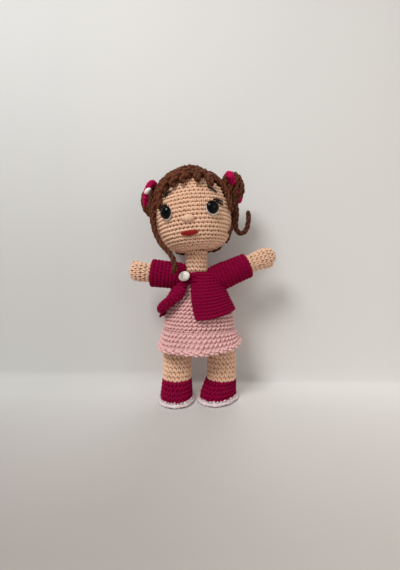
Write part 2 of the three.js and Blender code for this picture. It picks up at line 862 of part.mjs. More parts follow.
function eyeForm() {
  const profile = domeShares.map((share) => {
    const radius = eyeRadius * share;
    return [eyeRim + eyeDome * Math.sqrt(1 - share * share), radius, radius];
  });
  profile.push([0, eyeRadius, eyeRadius]);
  profile.push([0, stemRadius, stemRadius]);
  profile.push([-stemLength, stemRadius, stemRadius]);
  profile.push([-stemLength, 0, 0]);
  return skin(stack(profile, eyeSides));
}

// A flat ring on the stem, whose outside can be shifted
function washerForm(radius, thickness, x = 0, y = 0) {
  const hole = stemRadius + gap;
  const rings = [
    ring({ z: 0, width: radius, depth: radius, x, y, sides: eyeSides }),
    ring({ z: thickness, width: radius, depth: radius, x, y, sides: eyeSides }),
    ring({ z: thickness, width: hole, depth: hole, sides: eyeSides }),
    ring({ z: 0, width: hole, depth: hole, sides: eyeSides }),
  ];
  return skin(rings, true);
}

const eyeBase = 2 * gap + whiteThickness;
const washerDepth = fabric + gap + washerThickness;
const eyeCuts = [];
const fillingCuts = [];
const whiteRooms = {};
["right", "left"].forEach((side) => {
  const sign = sideSign[side];
  const { point, normal } = onFace(sign * eyeX, eyeHeight);
  const frame = new THREE.Group();
  frame.position.copy(point);
  frame.quaternion.setFromUnitVectors(new THREE.Vector3(0, 0, 1), normal);
  frame.updateMatrix();
  const eye = eyeForm().translate(0, 0, eyeBase);
  add(side + "_eye", eye, "black", { roughness: 0.08 }, frame);
  const white = washerForm(whiteRadius, whiteThickness, sign * whiteShift, -whiteShift);
  add(side + "_eye_white", white.translate(0, 0, gap), "white", {}, frame);
  const washer = washerForm(washerRadius, washerThickness).translate(0, 0, -washerDepth);
  add(side + "_eye_washer", washer, "nylon", { roughness: 0.4 }, frame);
  head.add(frame);
  const stemHole = disc(stemRadius + gap, -fabric - overrun, overrun, 12).applyMatrix4(frame.matrix);
  eyeCuts.push(stemHole);
  const seat = disc(washerRadius + gap, -stemLength, -fabric).applyMatrix4(frame.matrix);
  eyeCuts.push(seat);
  const room = disc(washerRadius + gap, -stemLength - gap, overrun).applyMatrix4(frame.matrix);
  fillingCuts.push(room);
  whiteRooms[side] = disc(whiteRadius + gap, -overrun, overrun, eyeSides)
    .translate(sign * whiteShift, -whiteShift, 0)
    .applyMatrix4(frame.matrix);
});

const headMouth = disc(neckRadius - fabric, -overrun, fabric + overrun, neckSides);
add("head_cover", cut(headSurface, headInside(fabric), headMouth, ...eyeCuts), "skin", {}, head);
add("head_filling", cut(headInside(fabric + gap), ...fillingCuts), "filling", {}, head);

// Nose and mouth
const noseHalfWidth = 6.2;
const noseHalfHeight = 3.2;
const noseLift = 3.4;
const noseX = -1.2;
const noseHeight = 25.6;
const noseHit = onFace(noseX, noseHeight);
const noseForm = new THREE.SphereGeometry(1, 12, 8)
  .scale(noseHalfWidth, noseLift, noseHalfHeight)
  .translate(noseHit.point.x, noseHit.point.y, noseHit.point.z);
const headSkinGrown = headForm(-gap);
add("nose", cut(noseForm, headSkinGrown), "skin", {}, head);

const mouthX = -1.4;
const mouthHeight = 13;
const mouthHalfWidth = 7.7;
const mouthHalfHeight = 2.5;
const mouthThickness = 1.1;
// Half heights of the lips above and below their middle line, as shares, at shares of the width
const lipShares = [
  [0, 0.12, 0.12],
  [0.2, 0.5, 0.62],
  [0.4, 0.86, 0.95],
  [0.5, 0.72, 1],
  [0.6, 0.86, 0.95],
  [0.8, 0.5, 0.62],
  [1, 0.12, 0.12],
];

function mouthPoint(along, up, lift) {
  const top = readTable(lipShares.map(([at, high]) => [at, high]), along);
  const bottom = readTable(lipShares.map(([at, , low]) => [at, low]), along);
  const x = mouthX + mouthHalfWidth * (2 * along - 1);
  const z = mouthHeight + mouthHalfHeight * (up * (top + bottom) - bottom);
  const { point, normal } = onFace(x, z);
  return point.addScaledVector(normal, lift);
}

const mouthForm = sheet(
  (along, up) => mouthPoint(along, up, gap + mouthThickness),
  (along, up) => mouthPoint(along, up, gap),
  8,
  2,
);
add("mouth", cut(mouthForm, headSkinGrown), "red", {}, head);

// Lashes and brows: black threads on the face. Places are shares of the head's half width and height.
const threadRadius = 0.45;
const threadLift = threadRadius + 2 * gap;
const threadSides = 6;
const threadShares = {
  right: {
    lashRoot: [0.471, 0.484],
    lashTips: [
      [0.637, 0.481],
      [0.7, 0.455],
    ],
    brow: [
      [0.37, 0.632],
      [0.482, 0.614],
      [0.575, 0.582],
    ],
  },
  left: {
    lashRoot: [0.554, 0.487],
    lashTips: [
      [0.772, 0.481],
      [0.767, 0.438],
    ],
    brow: [
      [0.446, 0.64],
      [0.56, 0.613],
      [0.658, 0.572],
    ],
  },
};

function threadPath(sign, places) {
  return places.map(([out, up]) => {
    const { point, normal } = onFace(sign * headHalfWidth * out, headHeight * up);
    return point.addScaledVector(normal, threadLift);
  });
}

["right", "left"].forEach((side) => {
  const sign = sideSign[side];
  const { lashRoot, lashTips, brow } = threadShares[side];
  const lashes = lashTips.map((tip) => tube(threadPath(sign, [lashRoot, tip]), threadRadius, threadSides, 3));
  const eyeRoom = ball(eyeRadius + 2 * gap, onFace(sign * eyeX, eyeHeight).point, eyeSides);
  add(side + "_lashes", cut(joined(...lashes), eyeRoom, whiteRooms[side], headSkinGrown), "black", {}, head);
  const browTube = tube(threadPath(sign, brow), threadRadius, threadSides, 4);
  add(side + "_brow", cut(browTube, headSkinGrown), "black", {}, head);
});

// Hair. The wig cap covers the skull behind a slanting hairline; cords lie on it.
const capThickness = 2.6;
const capTop = gap + capThickness;
const cordRadius = 2.8;
const fringeRadius = 4;
const thinRadius = 1.2;
const hairlineBack = 8; // where the hairline crosses the nape's height, measured back from the middle
const hairlineNapeHeight = 14;
const hairlineFront = -27;
const hairlineTopHeight = 66;
const hairlineRun = hairlineBack - hairlineFront;
const hairlineRise = hairlineTopHeight - hairlineNapeHeight;
const hairlineSlant = Math.atan2(hairlineRise, hairlineRun);

// The cap between two surfaces around the head, down to a plane moved down by a drop
function capForm(outer, inner, drop) {
  const block = new THREE.BoxGeometry(2 * headHeight, 2 * headHeight, 2 * headHeight)
    .translate(0, 0, -headHeight - drop)
    .rotateX(-hairlineSlant)
    .translate(0, hairlineBack, hairlineNapeHeight);
  return cut(headForm(-outer), headForm(-inner), block);
}

add("wig_cap", capForm(capTop, gap, 0), "hair", {}, head);
const capGrown = capForm(capTop + gap, 0, gap);

// The middle line of a cord through directions on the head. Its last few places lie on the face, the others
// on the cap.
function cordPath(angles, radius, onSkin) {
  return angles.map(([azimuth, elevation], i) => {
    const ground = i < angles.length - onSkin ? capTop + gap : 2 * gap;
    return onHead(azimuth, elevation, ground + radius);
  });
}

const cordTube = (path, radius) => tube(path, radius, 7, 6);

// Azimuth and elevation of each cord's places, and how many of them lie on the face
const fringe = [
  { angles: [[-22, 48.5], [-29, 39], [-32.5, 30], [-32, 22.5]], onSkin: 1 },
  { angles: [[-5, 49], [-12, 40], [-16.5, 32], [-18, 25.5]], onSkin: 1 },
  { angles: [[11.5, 48.5], [5, 40], [-0.5, 33], [-3.5, 28]], onSkin: 1 },
  { angles: [[28, 47], [21, 39], [15.5, 32], [13.8, 27]], onSkin: 1 },
  { angles: [[44, 45], [36, 38], [29.5, 30], [28.5, 22.5]], onSkin: 1 },
];
const rightStrand = { angles: [[-56, 38], [-55, 25], [-52, 10], [-50, -2]], onSkin: 2 };
const leftStrand = { angles: [[60, 42], [62, 27], [65, 12], [67, -3]], onSkin: 1 };
const thinStrand = { angles: [[79, -28], [76, -35], [70, -41]], onSkin: 3 };
const hairCuts = [headForm(-gap), capGrown];

// Buns, each held by a tie round its root
const bunX = 42;
const bunY = { right: 5, left: 6 };
const bunHeight = { right: 57, left: 61.3 };
const bunHalfWidth = 13;
const bunHalfDepth = 14;
const bunHalfHeight = 17.4;
const bunStrands = 8;
const bunRib = 0.05;
const bunSides = 16;
const tieX = 43.5;
const tieY = { right: 2, left: -3 };
const tieHeight = 63.6;
const tieTilt = 22 * degree;
const tieRingRadius = 12.2;
const tieRadius = 3.4;
const bunShares = [-1, -0.9, -0.62, -0.22, 0.22, 0.62, 0.9, 1];

function bunForm(grow) {
  const rings = bunShares.map((share) => {
    const across = Math.sqrt(1 - share * share);
    if (!across) return new THREE.Vector3(0, 0, (bunHalfHeight + grow) * share);
    return Array.from({ length: bunSides }, (_, j) => {
      const angle = (turn * j) / bunSides;
      const rib = across * (1 + bunRib * Math.cos(bunStrands * angle));
      return new THREE.Vector3(
        (bunHalfWidth + grow) * rib * Math.cos(angle),
        (bunHalfDepth + grow) * rib * Math.sin(angle),
        (bunHalfHeight + grow) * share,
      );
    });
  });
  return skin(rings);
}

["right", "left"].forEach((side) => {
  const sign = sideSign[side];
  const capRoom = headForm(-capTop - gap);
  const bunAt = (grow) => bunForm(grow).translate(sign * bunX, bunY[side], bunHeight[side]);
  const tieAt = (grow) =>
    new THREE.TorusGeometry(tieRingRadius, tieRadius + grow, 6, 16)
      .rotateY(turn / 4 - sign * tieTilt)
      .translate(sign * tieX, tieY[side], tieHeight);
  add(side + "_hair_tie", cut(tieAt(0), capRoom), "magenta", {}, head);
  add(side + "_bun", cut(bunAt(0), capRoom, tieAt(gap)), "hair", {}, head);
  hairCuts.push(bunAt(gap), tieAt(gap));
});

// The white bead is sewn to the front of the right tie
const beadRadius = 2.3;
const beadHalfLength = 3.6;
const beadTilt = 35 * degree;
const beadAside = 4.4; // from the ring's middle, towards the face
const beadForward = 16;
const beadDrop = 3;
const bead = ball(beadRadius, new THREE.Vector3())
  .scale(beadHalfLength / beadRadius, 1, 1)
  .rotateY(-beadTilt)
  .translate(beadAside - tieX, tieY.right - beadForward, tieHeight - beadDrop);
add("hair_bead", bead, "white", { roughness: 0.25 }, head);

// Each cord gives way to those laid before it
function addHair(name, { angles, onSkin }, radius) {
  const path = cordPath(angles, radius, onSkin);
  add(name, cut(cordTube(path, radius), ...hairCuts), "hair", {}, head);
  hairCuts.push(cordTube(path, radius + gap));
}

fringe.forEach((curl, i) => addHair("fringe_curl_" + (i + 1), curl, fringeRadius));
addHair("right_side_strand", rightStrand, cordRadius);
addHair("left_side_strand", leftStrand, cordRadius);
addHair("left_thin_strand", thinStrand, thinRadius);

// Everything is centred on the origin by its box without the two free strands
doll.updateMatrixWorld(true);
const middle = new THREE.Box3().setFromObject(doll).getCenter(new THREE.Vector3());
doll.position.set(-middle.x, -middle.y, 0);

// Two strands hang free. Their routes are in the doll's own frame.
const longStrandRoute = [
  [-46, -16, 207.1],
  [-46.8, -15, 200.6],
  [-47.2, -14, 194.1],
  [-47.1, -13, 187.6],
  [-46.4, -13, 180.7],
  [-45, -13.5, 173.7],
  [-42.8, -15, 167.1],
  [-40.2, -17, 160.9],
  [-36.9, -20, 155.1],
  [-32.9, -23.5, 150.3],
  [-28.8, -27, 146.1],
  [-25.3, -30, 141.6],
  [-23.1, -32.3, 136.8],
  [-22.1, -33.3, 132.2],
  [-22.6, -33.5, 128.1],
  [-23.7, -33, 125],
];
const curlRoute = [
  [34.2, -19, 198.2],
  [35.1, -17.3, 193.6],
  [36, -15, 189],
  [36.6, -12.5, 184.8],
  [36.6, -10, 180.5],
  [36.5, -8, 176],
  [37.1, -6, 171.7],
  [39.4, -3.5, 168.9],
  [42.7, -1.5, 167.9],
  [46.6, 0, 169.7],
  [49.3, 1, 174],
  [50.6, 1.5, 179.8],
  [51.1, 1.5, 185.5],
  [50.3, 1, 189.7],
  [49.6, 0.5, 191.8],
];
const strandSides = 8;

function addFreeStrand(name, route) {
  const places = route.map((place) => new THREE.Vector3(...place));
  const steps = 2 * (route.length - 1);
  add(name, tube(places, cordRadius, strandSides, steps), "hair");
}

addFreeStrand("long_strand", longStrandRoute);
addFreeStrand("curled_strand", curlRoute);

export default doll;
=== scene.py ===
import bmesh
import bpy
import json
import math
import numpy as np
from mathutils import Matrix, Vector
from mathutils.bvhtree import BVHTree


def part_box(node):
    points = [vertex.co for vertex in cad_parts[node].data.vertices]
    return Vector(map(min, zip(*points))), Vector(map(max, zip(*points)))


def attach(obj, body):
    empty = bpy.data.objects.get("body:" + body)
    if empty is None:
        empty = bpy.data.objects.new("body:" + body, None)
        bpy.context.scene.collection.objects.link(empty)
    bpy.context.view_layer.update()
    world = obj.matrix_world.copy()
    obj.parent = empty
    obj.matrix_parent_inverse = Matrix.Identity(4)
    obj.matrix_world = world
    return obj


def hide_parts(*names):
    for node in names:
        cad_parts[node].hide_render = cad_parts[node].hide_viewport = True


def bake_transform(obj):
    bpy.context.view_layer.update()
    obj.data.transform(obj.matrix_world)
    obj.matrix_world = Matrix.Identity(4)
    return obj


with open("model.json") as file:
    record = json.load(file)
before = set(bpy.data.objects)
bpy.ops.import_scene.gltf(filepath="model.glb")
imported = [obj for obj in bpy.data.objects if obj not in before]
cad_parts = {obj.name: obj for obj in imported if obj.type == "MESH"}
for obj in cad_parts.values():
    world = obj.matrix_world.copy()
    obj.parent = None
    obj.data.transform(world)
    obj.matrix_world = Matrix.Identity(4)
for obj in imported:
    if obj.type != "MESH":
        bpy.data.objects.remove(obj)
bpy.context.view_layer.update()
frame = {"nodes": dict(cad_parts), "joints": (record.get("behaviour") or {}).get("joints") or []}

mm = 0.001
random = np.random.default_rng(7)
sides = {"right": -1, "left": 1}
jointPlaces = {joint["name"]: Vector(joint["pos_m"]) for joint in frame["joints"]}
dollMiddle = (jointPlaces["right_hip_swing"] + jointPlaces["left_hip_swing"]) / 2
dollMiddle.z = 0


def inDoll(x, y, z):  # a place in the doll's own frame, in millimetres
    return dollMiddle + Vector((x, y, z)) * mm


def turned(degrees, axis, size=4):
    return Matrix.Rotation(math.radians(degrees), size, axis)


headTilt = {"lean": -5, "turn": -6}
headFrame = Matrix.Translation(jointPlaces["head_turn"])
headFrame = headFrame @ turned(headTilt["lean"], "Y") @ turned(headTilt["turn"], "Z")
headTurn = headFrame.to_3x3()
headUnturn = headTurn.inverted()
armRise = {"right": 6, "left": 23.5}
armFrames = {
    side: Matrix.Translation(jointPlaces[side + "_arm_raise"]) @ turned(sign * (90 - armRise[side]), "Y")
    for side, sign in sides.items()
}

# Camera, level with the doll's chest and as near as a phone held over it
cameraSettings = {"x": 0.7, "distance": 270, "height": 115, "lens": 16.55, "nearest": 10}
cameraData = bpy.data.cameras.new("camera")
cameraData.lens = cameraSettings["lens"]
cameraData.clip_start = cameraSettings["nearest"] * mm
camera = bpy.data.objects.new("camera", cameraData)
camera.location = inDoll(cameraSettings["x"], -cameraSettings["distance"], cameraSettings["height"])
camera.rotation_euler = (math.radians(90), 0, 0)
bpy.context.scene.collection.objects.link(camera)
bpy.context.scene.camera = camera
bpy.context.scene.view_settings.view_transform = "Standard"

# Stitches. Each grain is one visible lobe of yarn, a stretched ball that bends down at both ends. The
# first three keys place it in its stitch, the others are its half sizes and its bend. Twins are mirrored.
grainKeys = ("across", "up", "lean", "long", "wide", "thick", "sink")
stitchKinds = {
    "vee": {"width": 4.4, "height": 4.7, "twins": True, "grains": [(-1.02, 0.1, 17, 3.15, 1.12, 1.1, 1.2)]},
    "slanted": {"width": 4.2, "height": 3.75, "twins": False, "grains": [
        (-1.35, -0.1, 8, 1.7, 0.75, 0.7, 0.9), (0.35, 0.1, -44, 2.75, 1.25, 1.3, 1.3),
    ]},
    "fine": {"width": 3.7, "height": 3.7, "twins": True, "grains": [(-0.85, 0, 21, 2.6, 1, 0.95, 1)]},
    "face": {"width": 4, "height": 3.85, "twins": False, "grains": [
        (-0.95, 0, 20, 2.35, 1.2, 1.15, 1.5), (1, 0, -26, 2.4, 1.2, 1.15, 1.5),
    ]},
    "edge": {"width": 7.2, "height": 4.4, "twins": False, "grains": [(0, 0, -50, 3.7, 2.05, 1.6, 1.2)]},
    "tooth": {"width": 5.6, "height": 3.4, "twins": False, "grains": [(0, 0, 0, 1.4, 2.7, 0.55, 0.5)]},
    "rope": {"width": 5.6, "height": 3.3, "twins": False, "grains": [(0, 0, -42, 3.7, 2.15, 1.4, 1.4)]},
}


def makeStitch(kind):
    form = bmesh.new()
    lengthwise = form.loops.layers.uv.new("yarn")
    depthLayer = form.verts.layers.float.new("depth")
    grains = [dict(zip(grainKeys, grain)) for grain in kind["grains"]]
    if kind["twins"]:
        grains += [{**grain, "across": -grain["across"], "lean": -grain["lean"]} for grain in grains]
    for grain in grains:
        verts = bmesh.ops.create_uvsphere(form, u_segments=6, v_segments=6, radius=1)["verts"]
        for face in {face for vert in verts for face in vert.link_faces}:
            around = [math.atan2(loop.vert.co.y, loop.vert.co.x) / math.tau for loop in face.loops]
            poles = [abs(loop.vert.co.z) > 0.99 for loop in face.loops]
            known = [value for value, pole in zip(around, poles) if not pole]
            if max(known) - min(known) > 0.5:  # the face lies across the seam
                known = [value + (value < 0) for value in known]
                around = [value + (value < 0) for value in around]
            around = [sum(known) / len(known) if pole else value for value, pole in zip(around, poles)]
            for loop, value in zip(face.loops, around):
                loop[lengthwise].uv = (loop.vert.co.z * grain["long"] / 2, value)
        for axis in ("X", "Y"):
            bmesh.ops.rotate(form, verts=verts, matrix=turned(90, axis, 3))
        # each corner's depth is how high it sits on its grain; the yarn material paints shade on the low ones
        for vert in verts:
            vert[depthLayer] = 0.5 + 0.5 * vert.co.z
        bmesh.ops.scale(form, verts=verts, vec=(grain["wide"], grain["long"], grain["thick"]))
        for vert in verts:
            vert.co.z -= grain["sink"] * (vert.co.y / grain["long"]) ** 2
        bmesh.ops.rotate(form, verts=verts, matrix=turned(grain["lean"], "Z", 3))
        bmesh.ops.translate(form, verts=verts, vec=(grain["across"], grain["up"], 0))
    form.verts.index_update()
    stitch = {
        "places": np.array([vert.co for vert in form.verts]) * mm,
        "depths": np.array([vert[depthLayer] for vert in form.verts]),
        "width": kind["width"] * mm,
        "height": kind["height"] * mm,
    }
    for size in (3, 4):
        faces = [face for face in form.faces if len(face.verts) == size]
        stitch[size] = np.array([[vert.index for vert in face.verts] for face in faces]).reshape(-1, size)
        uvs = np.array([[loop[lengthwise].uv for loop in face.loops] for face in faces])
        stitch[size, "uv"] = uvs.reshape(-1, size, 2)
    form.free()
    return stitch


stitches = {name: makeStitch(kind) for name, kind in stitchKinds.items()}


# What is crocheted of one yarn: faces gathered from grounds and stitches, then made one mesh
class Work:
    def __init__(self):
        self.count = 0
        self.places, self.tones, self.depths = [], [], []
        self.faces = {3: [], 4: []}
        self.uvs = {3: [], 4: []}

    def put(self, places, tones, depths, faces, uvs):
        self.places.append(places)
        self.tones.append(tones)
        self.depths.append(depths)
        for size in (3, 4):
            self.faces[size].append(faces[size] + self.count)
            self.uvs[size].append(uvs[size])
        self.count += len(places)

    def piece(self, name, yarnName):
        mesh = bpy.data.meshes.new(name)
        places = np.concatenate(self.places)
        faces = {size: np.concatenate(self.faces[size]).astype(np.int32) for size in (3, 4)}
        uvs = np.concatenate([np.concatenate(self.uvs[size]).reshape(-1, 2) for size in (3, 4)])
        totals = np.repeat([3, 4], [len(faces[3]), len(faces[4])]).astype(np.int32)
        corners = np.concatenate([faces[3].ravel(), faces[4].ravel()])
        mesh.vertices.add(len(places))
        mesh.vertices.foreach_set("co", places.astype(np.float32).ravel())
        mesh.loops.add(len(corners))
        mesh.loops.foreach_set("vertex_index", corners)
        mesh.polygons.add(len(totals))
        mesh.polygons.foreach_set("loop_start", (np.cumsum(totals) - totals).astype(np.int32))
        mesh.polygons.foreach_set("loop_total", totals)
        mesh.update(calc_edges=True)
        mesh.uv_layers.new(name="yarn").data.foreach_set("uv", uvs.astype(np.float32).ravel())
        for title, values in (("tone", self.tones), ("depth", self.depths)):
            attribute = mesh.attributes.new(title, "FLOAT", "POINT")
            attribute.data.foreach_set("value", np.concatenate(values).astype(np.float32))
        mesh.validate()
        return shownPiece(mesh, yarn[yarnName])

    def make(self, name, yarnName, body, replaced=(), slot=None):
        return place(self.piece(name, yarnName), body, slot or yarnName, replaced)


def shownPiece(mesh, material):
    mesh.shade_smooth()
    mesh.materials.append(material)
    piece = bpy.data.objects.new(mesh.name, mesh)
    bpy.context.scene.collection.objects.link(piece)
    return piece


def formPiece(form, name, material):  # a finished form as a piece of the scene
    mesh = bpy.data.meshes.new(name)
    form.to_mesh(mesh)
    form.free()
    return shownPiece(mesh, material)


def place(piece, body, slot, replaced=()):
    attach(piece, body)
    if replaced:
        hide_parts(*replaced)
    return piece


def thicken(cloth, thickness):  # inwards
    wall = cloth.modifiers.new("thickness", "SOLIDIFY")
    wall.thickness = thickness * mm
    wall.offset = -1


def joinRings(form, rings):  # faces between closed rings of corners
    for low, high in zip(rings, rings[1:]):
        for i in range(len(low)):
            j = (i + 1) % len(low)
            form.faces.new((low[i], low[j], high[j], high[i]))


def dropLoose(form):
    bmesh.ops.delete(form, geom=[vert for vert in form.verts if not vert.link_faces], context="VERTS")


def turnsOf(count):  # equal turns once round
    return np.arange(count) / count * math.tau


def smooth(rows):  # each row a little nearer to its neighbours
    rows[1:-1] = rows[1:-1] * 0.5 + (rows[:-2] + rows[2:]) * 0.25


def unit(vectors):
    return vectors / np.maximum(np.linalg.norm(vectors, axis=-1, keepdims=True), 1e-12)


def lengthOf(line):
    return np.linalg.norm(np.diff(line, axis=0), axis=1).sum()


# A ground is a grid of points with its normals. Rows of the grid run along the first axis, and closed
# grounds go round along the second.
class Ground:
    def __init__(self, points, closed=True):
        self.points = points
        self.closed = closed
        around = np.gradient(points, axis=1)
        if closed:
            around = np.roll(points, -1, axis=1) - np.roll(points, 1, axis=1)
        normals = np.cross(around, np.gradient(points, axis=0))
        weak = np.linalg.norm(normals, axis=2) < 1e-12
        normals[weak] = (points - points.mean(axis=(0, 1)))[weak]
        self.normals = unit(normals)

    def at(self, around, up):  # both are shares from 0 to 1, in arrays of one shape
        rows, columns = self.points.shape[:2]
        v = np.clip(up, 0, 1) * (rows - 1)
        v0 = np.minimum(v.astype(int), rows - 2)
        fv = (v - v0)[..., None]
        if self.closed:
            u = np.mod(around, 1) * columns
            u0 = np.floor(u).astype(int) % columns
            u1 = (u0 + 1) % columns
            fu = (u - np.floor(u))[..., None]
        else:
            u = np.clip(around, 0, 1) * (columns - 1)
            u0 = np.minimum(u.astype(int), columns - 2)
            u1 = u0 + 1
            fu = (u - u0)[..., None]
        found = []
        for grid in (self.points, self.normals):
            low = grid[v0, u0] * (1 - fu) + grid[v0, u1] * fu
            high = grid[v0 + 1, u0] * (1 - fu) + grid[v0 + 1, u1] * fu
            found.append(low * (1 - fv) + high * fv)
        over = (up - np.clip(up, 0, 1))[..., None] * self.length()  # past the ground's edge
        rise = unit(self.points[v0 + 1, u0] - self.points[v0, u0])
        return found[0] + over * rise, found[1]

    def length(self):
        return np.linalg.norm(np.diff(self.points, axis=0), axis=2).mean(axis=1).sum()

    def girth(self, up):
        return lengthOf(self.at(np.linspace(0, 1, 49), np.full(49, up))[0])

    def evened(self, steps=60):  # the same ground with its rows equally far apart
        run = np.linalg.norm(np.diff(self.points, axis=0), axis=2).mean(axis=1)
        run = np.concatenate([[0], np.cumsum(run)])
        places = np.interp(np.linspace(0, run[-1], steps + 1), run, np.arange(len(run)))
        low = np.minimum(places.astype(int), len(run) - 2)
        share = (places - low)[:, None, None]
        return Ground(self.points[low] * (1 - share) + self.points[low + 1] * share, self.closed)


# Rows of stitches over a ground. keep says of a list of places which stitches are worked.
def crochet(
    work, ground, kind, lift=-0.7, step=0.17, first=0.0, last=1.0, keep=None, scale=1.0, rows=0, count=0
):
    stitch = stitches[kind]
    places, block = stitch["places"], len(stitch["places"])
    rows = rows or max(1, round(ground.length() * (last - first) / stitch["height"] / scale))
    tall = (last - first) / rows
    for row in range(rows):
        middle = first + (row + 0.5) * tall
        girth = ground.girth(min(max(middle, 0), 1))
        number = count or max(3, round(girth / stitch["width"] / scale))
        around = (np.arange(number) + 0.5 + (step * row if ground.closed else 0)) / number
        if keep is not None:
            around = around[keep(ground.at(around, np.full(number, middle))[0])]
        worked = len(around)
        if not worked:
            continue
        jitter = random.normal(0, 1, (worked, 3))
        u = around[:, None] + places[:, 0] / stitch["width"] / number + jitter[:, :1] * 0.03 / number
        v = middle + places[:, 1] / stitch["height"] * tall + jitter[:, 1:2] * 0.03 * tall
        base, normal = ground.at(u, v)
        high = (places[:, 2] * scale + lift * mm)[None, :] + jitter[:, 2:] * 0.06 * mm
        starts = np.arange(worked)[:, None, None] * block
        faces = {size: (stitch[size][None] + starts).reshape(-1, size) for size in (3, 4)}
        uvs = {size: np.tile(stitch[size, "uv"], (worked, 1, 1)) for size in (3, 4)}
        tones = np.repeat(random.uniform(0, 1, worked), block)
        points = base + normal * high[..., None]
        work.put(points.reshape(-1, 3), tones, np.tile(stitch["depths"], worked), faces, uvs)


# A grid of rings closed at both ends. long is the yarn's length along it, or 0 where its plies don't show.
def closedTube(work, points, ends, tone, depth, long=0.0):
    rows, columns = points.shape[0] - 1, points.shape[1]
    index = np.arange((rows + 1) * columns).reshape(rows + 1, columns)
    after = np.roll(index, -1, axis=1)
    quads = np.stack([index[:-1], after[:-1], after[1:], index[1:]], axis=-1).reshape(-1, 4)
    low, high = np.full(columns, index.size), np.full(columns, index.size + 1)
    fans = np.stack([[after[0], index[0], low], [index[-1], after[-1], high]])
    triangles = fans.swapaxes(1, 2).reshape(-1, 3)
    i, j = np.meshgrid(np.arange(rows), np.arange(columns), indexing="ij")
    u = np.stack([i, i, i + 1, i + 1], axis=-1) / rows * long
    v = np.stack([j, j + 1, j + 1, j], axis=-1) / columns * (long > 0)
    uvs = {4: np.stack([u, v], axis=-1).reshape(-1, 4, 2), 3: np.zeros((len(triangles), 3, 2))}
    total = np.concatenate([points.reshape(-1, 3), ends])
    work.put(total, np.full(len(total), tone), np.full(len(total), depth), {3: triangles, 4: quads}, uvs)


# The closed cloth under the stitches, a little inside the ground. Its low depth gives it painted shade, the
# dark seen between the stitches.
def lining(work, ground, lift=-1.5, rows=24, columns=32, depth=-0.1):
    up = np.repeat(np.linspace(0, 1, rows + 1), columns).reshape(rows + 1, columns)
    around = np.tile(np.arange(columns) / columns, (rows + 1, 1))
    base, normal = ground.at(around, up)
    points = base + normal * lift * mm
    closedTube(work, points, points[[0, -1]].mean(axis=1), 0.5, depth)


# A stuffed cover: its stitches over a lining, which cloth gives as lift, rows and columns
def paddedPiece(name, yarnName, body, cover, fill, ground, kind, cloth=(-1.5, 24, 32), **worked):
    work = Work()
    lining(work, ground, *cloth)
    crochet(work, ground, kind, **worked)
    work.make(name, yarnName, body, [cover])


# Grounds taken from the model's own solids, by probes from outside towards their middle line
def treeOf(name):
    mesh = frame["nodes"][name].data
    places = [vert.co.copy() for vert in mesh.vertices]
    return BVHTree.FromPolygons(places, [list(face.vertices) for face in mesh.polygons])


def probe(tree, matrix, height, angle, centre=(0, 0), reach=0.2):
    outward = Vector((math.cos(angle), math.sin(angle), 0))
    start = matrix @ (Vector((centre[0], centre[1], height)) + outward * reach)
    hit = tree.ray_cast(start, matrix.to_3x3() @ -outward, reach)[0]  # not on through a hole to the far side
    return None if hit is None else (matrix.inverted() @ hit)


def toWorld(points, matrix):
    return Ground(points @ np.array(matrix.to_3x3()).T + np.array(matrix.translation)).evened()


# Ovals round the frame's own upright, at these heights and half sizes
def ovalGround(matrix, heights, wide, deep, columns=48, x=0.0, y=0.0):
    points = np.zeros((len(heights), columns, 3))
    points[..., 0] = np.reshape(x, (-1, 1)) + np.outer(wide, np.cos(turnsOf(columns)))
    points[..., 1] = np.reshape(y, (-1, 1)) + np.outer(deep, np.sin(turnsOf(columns)))
    points[..., 2] = np.reshape(heights, (-1, 1))
    return toWorld(points, matrix)


# A round ground: at each height an ellipse through the solid's own corners
def roundGround(tree, matrix, heights, angles, columns=64):
    rings = []
    for height in heights:
        hits = [probe(tree, matrix, height, angle) for angle in angles]
        hits = np.array([hit[:2] for hit in hits if hit is not None])
        centre = hits.mean(axis=0) if len(hits) == len(angles) else np.zeros(2)
        squares = (hits - centre) ** 2
        for _ in range(3):  # corners far inside the fit lie in an eye's hole
            sizes = np.linalg.lstsq(squares, np.ones(len(squares)), rcond=None)[0]
            squares = squares[squares @ sizes > 0.94]
        rings.append([*centre, *(1 / np.sqrt(np.maximum(sizes, 1e-9)))])
    rings = np.array(rings)
    smooth(rings)
    x, y, wide, deep = rings.T
    return ovalGround(matrix, heights, wide, deep, columns, x, y)


# A ground that follows the solid's own outline, with its corners smoothed away
def freeGround(tree, matrix, heights, columns=64, waves=5):
    points = np.zeros((len(heights), columns, 3))
    turns = turnsOf(columns)
    for row, height in zip(points, heights):
        hits = np.array([probe(tree, matrix, height, angle)[:2] for angle in turns])
        centre = (hits.max(axis=0) + hits.min(axis=0)) / 2
        hits = np.array([probe(tree, matrix, height, angle, centre)[:2] for angle in turns]) - centre
        spectrum = np.fft.rfft(np.linalg.norm(hits, axis=1))
        spectrum[waves:] = 0
        radii = np.fft.irfft(spectrum, columns)
        row[:, 0] = centre[0] + radii * np.cos(turns)
        row[:, 1] = centre[1] + radii * np.sin(turns)
        row[:, 2] = height
    return toWorld(points, matrix)


def toLine(places, steps):  # a smooth line through places, its points equally far apart
    places = np.array(places, float)
    padded = np.concatenate([[2 * places[0] - places[1]], places, [2 * places[-1] - places[-2]]])
    fine = []
    for a, b, c, d in zip(padded, padded[1:], padded[2:], padded[3:]):
        for t in np.linspace(0, 1, 8, endpoint=False):
            bend = (2 * a - 5 * b + 4 * c - d) * t**2 + (3 * b - a - 3 * c + d) * t**3
            fine.append(0.5 * (2 * b + (c - a) * t + bend))
    fine = np.array(fine + [places[-1]])
    run = np.concatenate([[0], np.cumsum(np.linalg.norm(np.diff(fine, axis=0), axis=1))])
    at = np.linspace(0, run[-1], steps + 1)
    return np.stack([np.interp(at, run, fine[:, i]) for i in range(3)], axis=1)


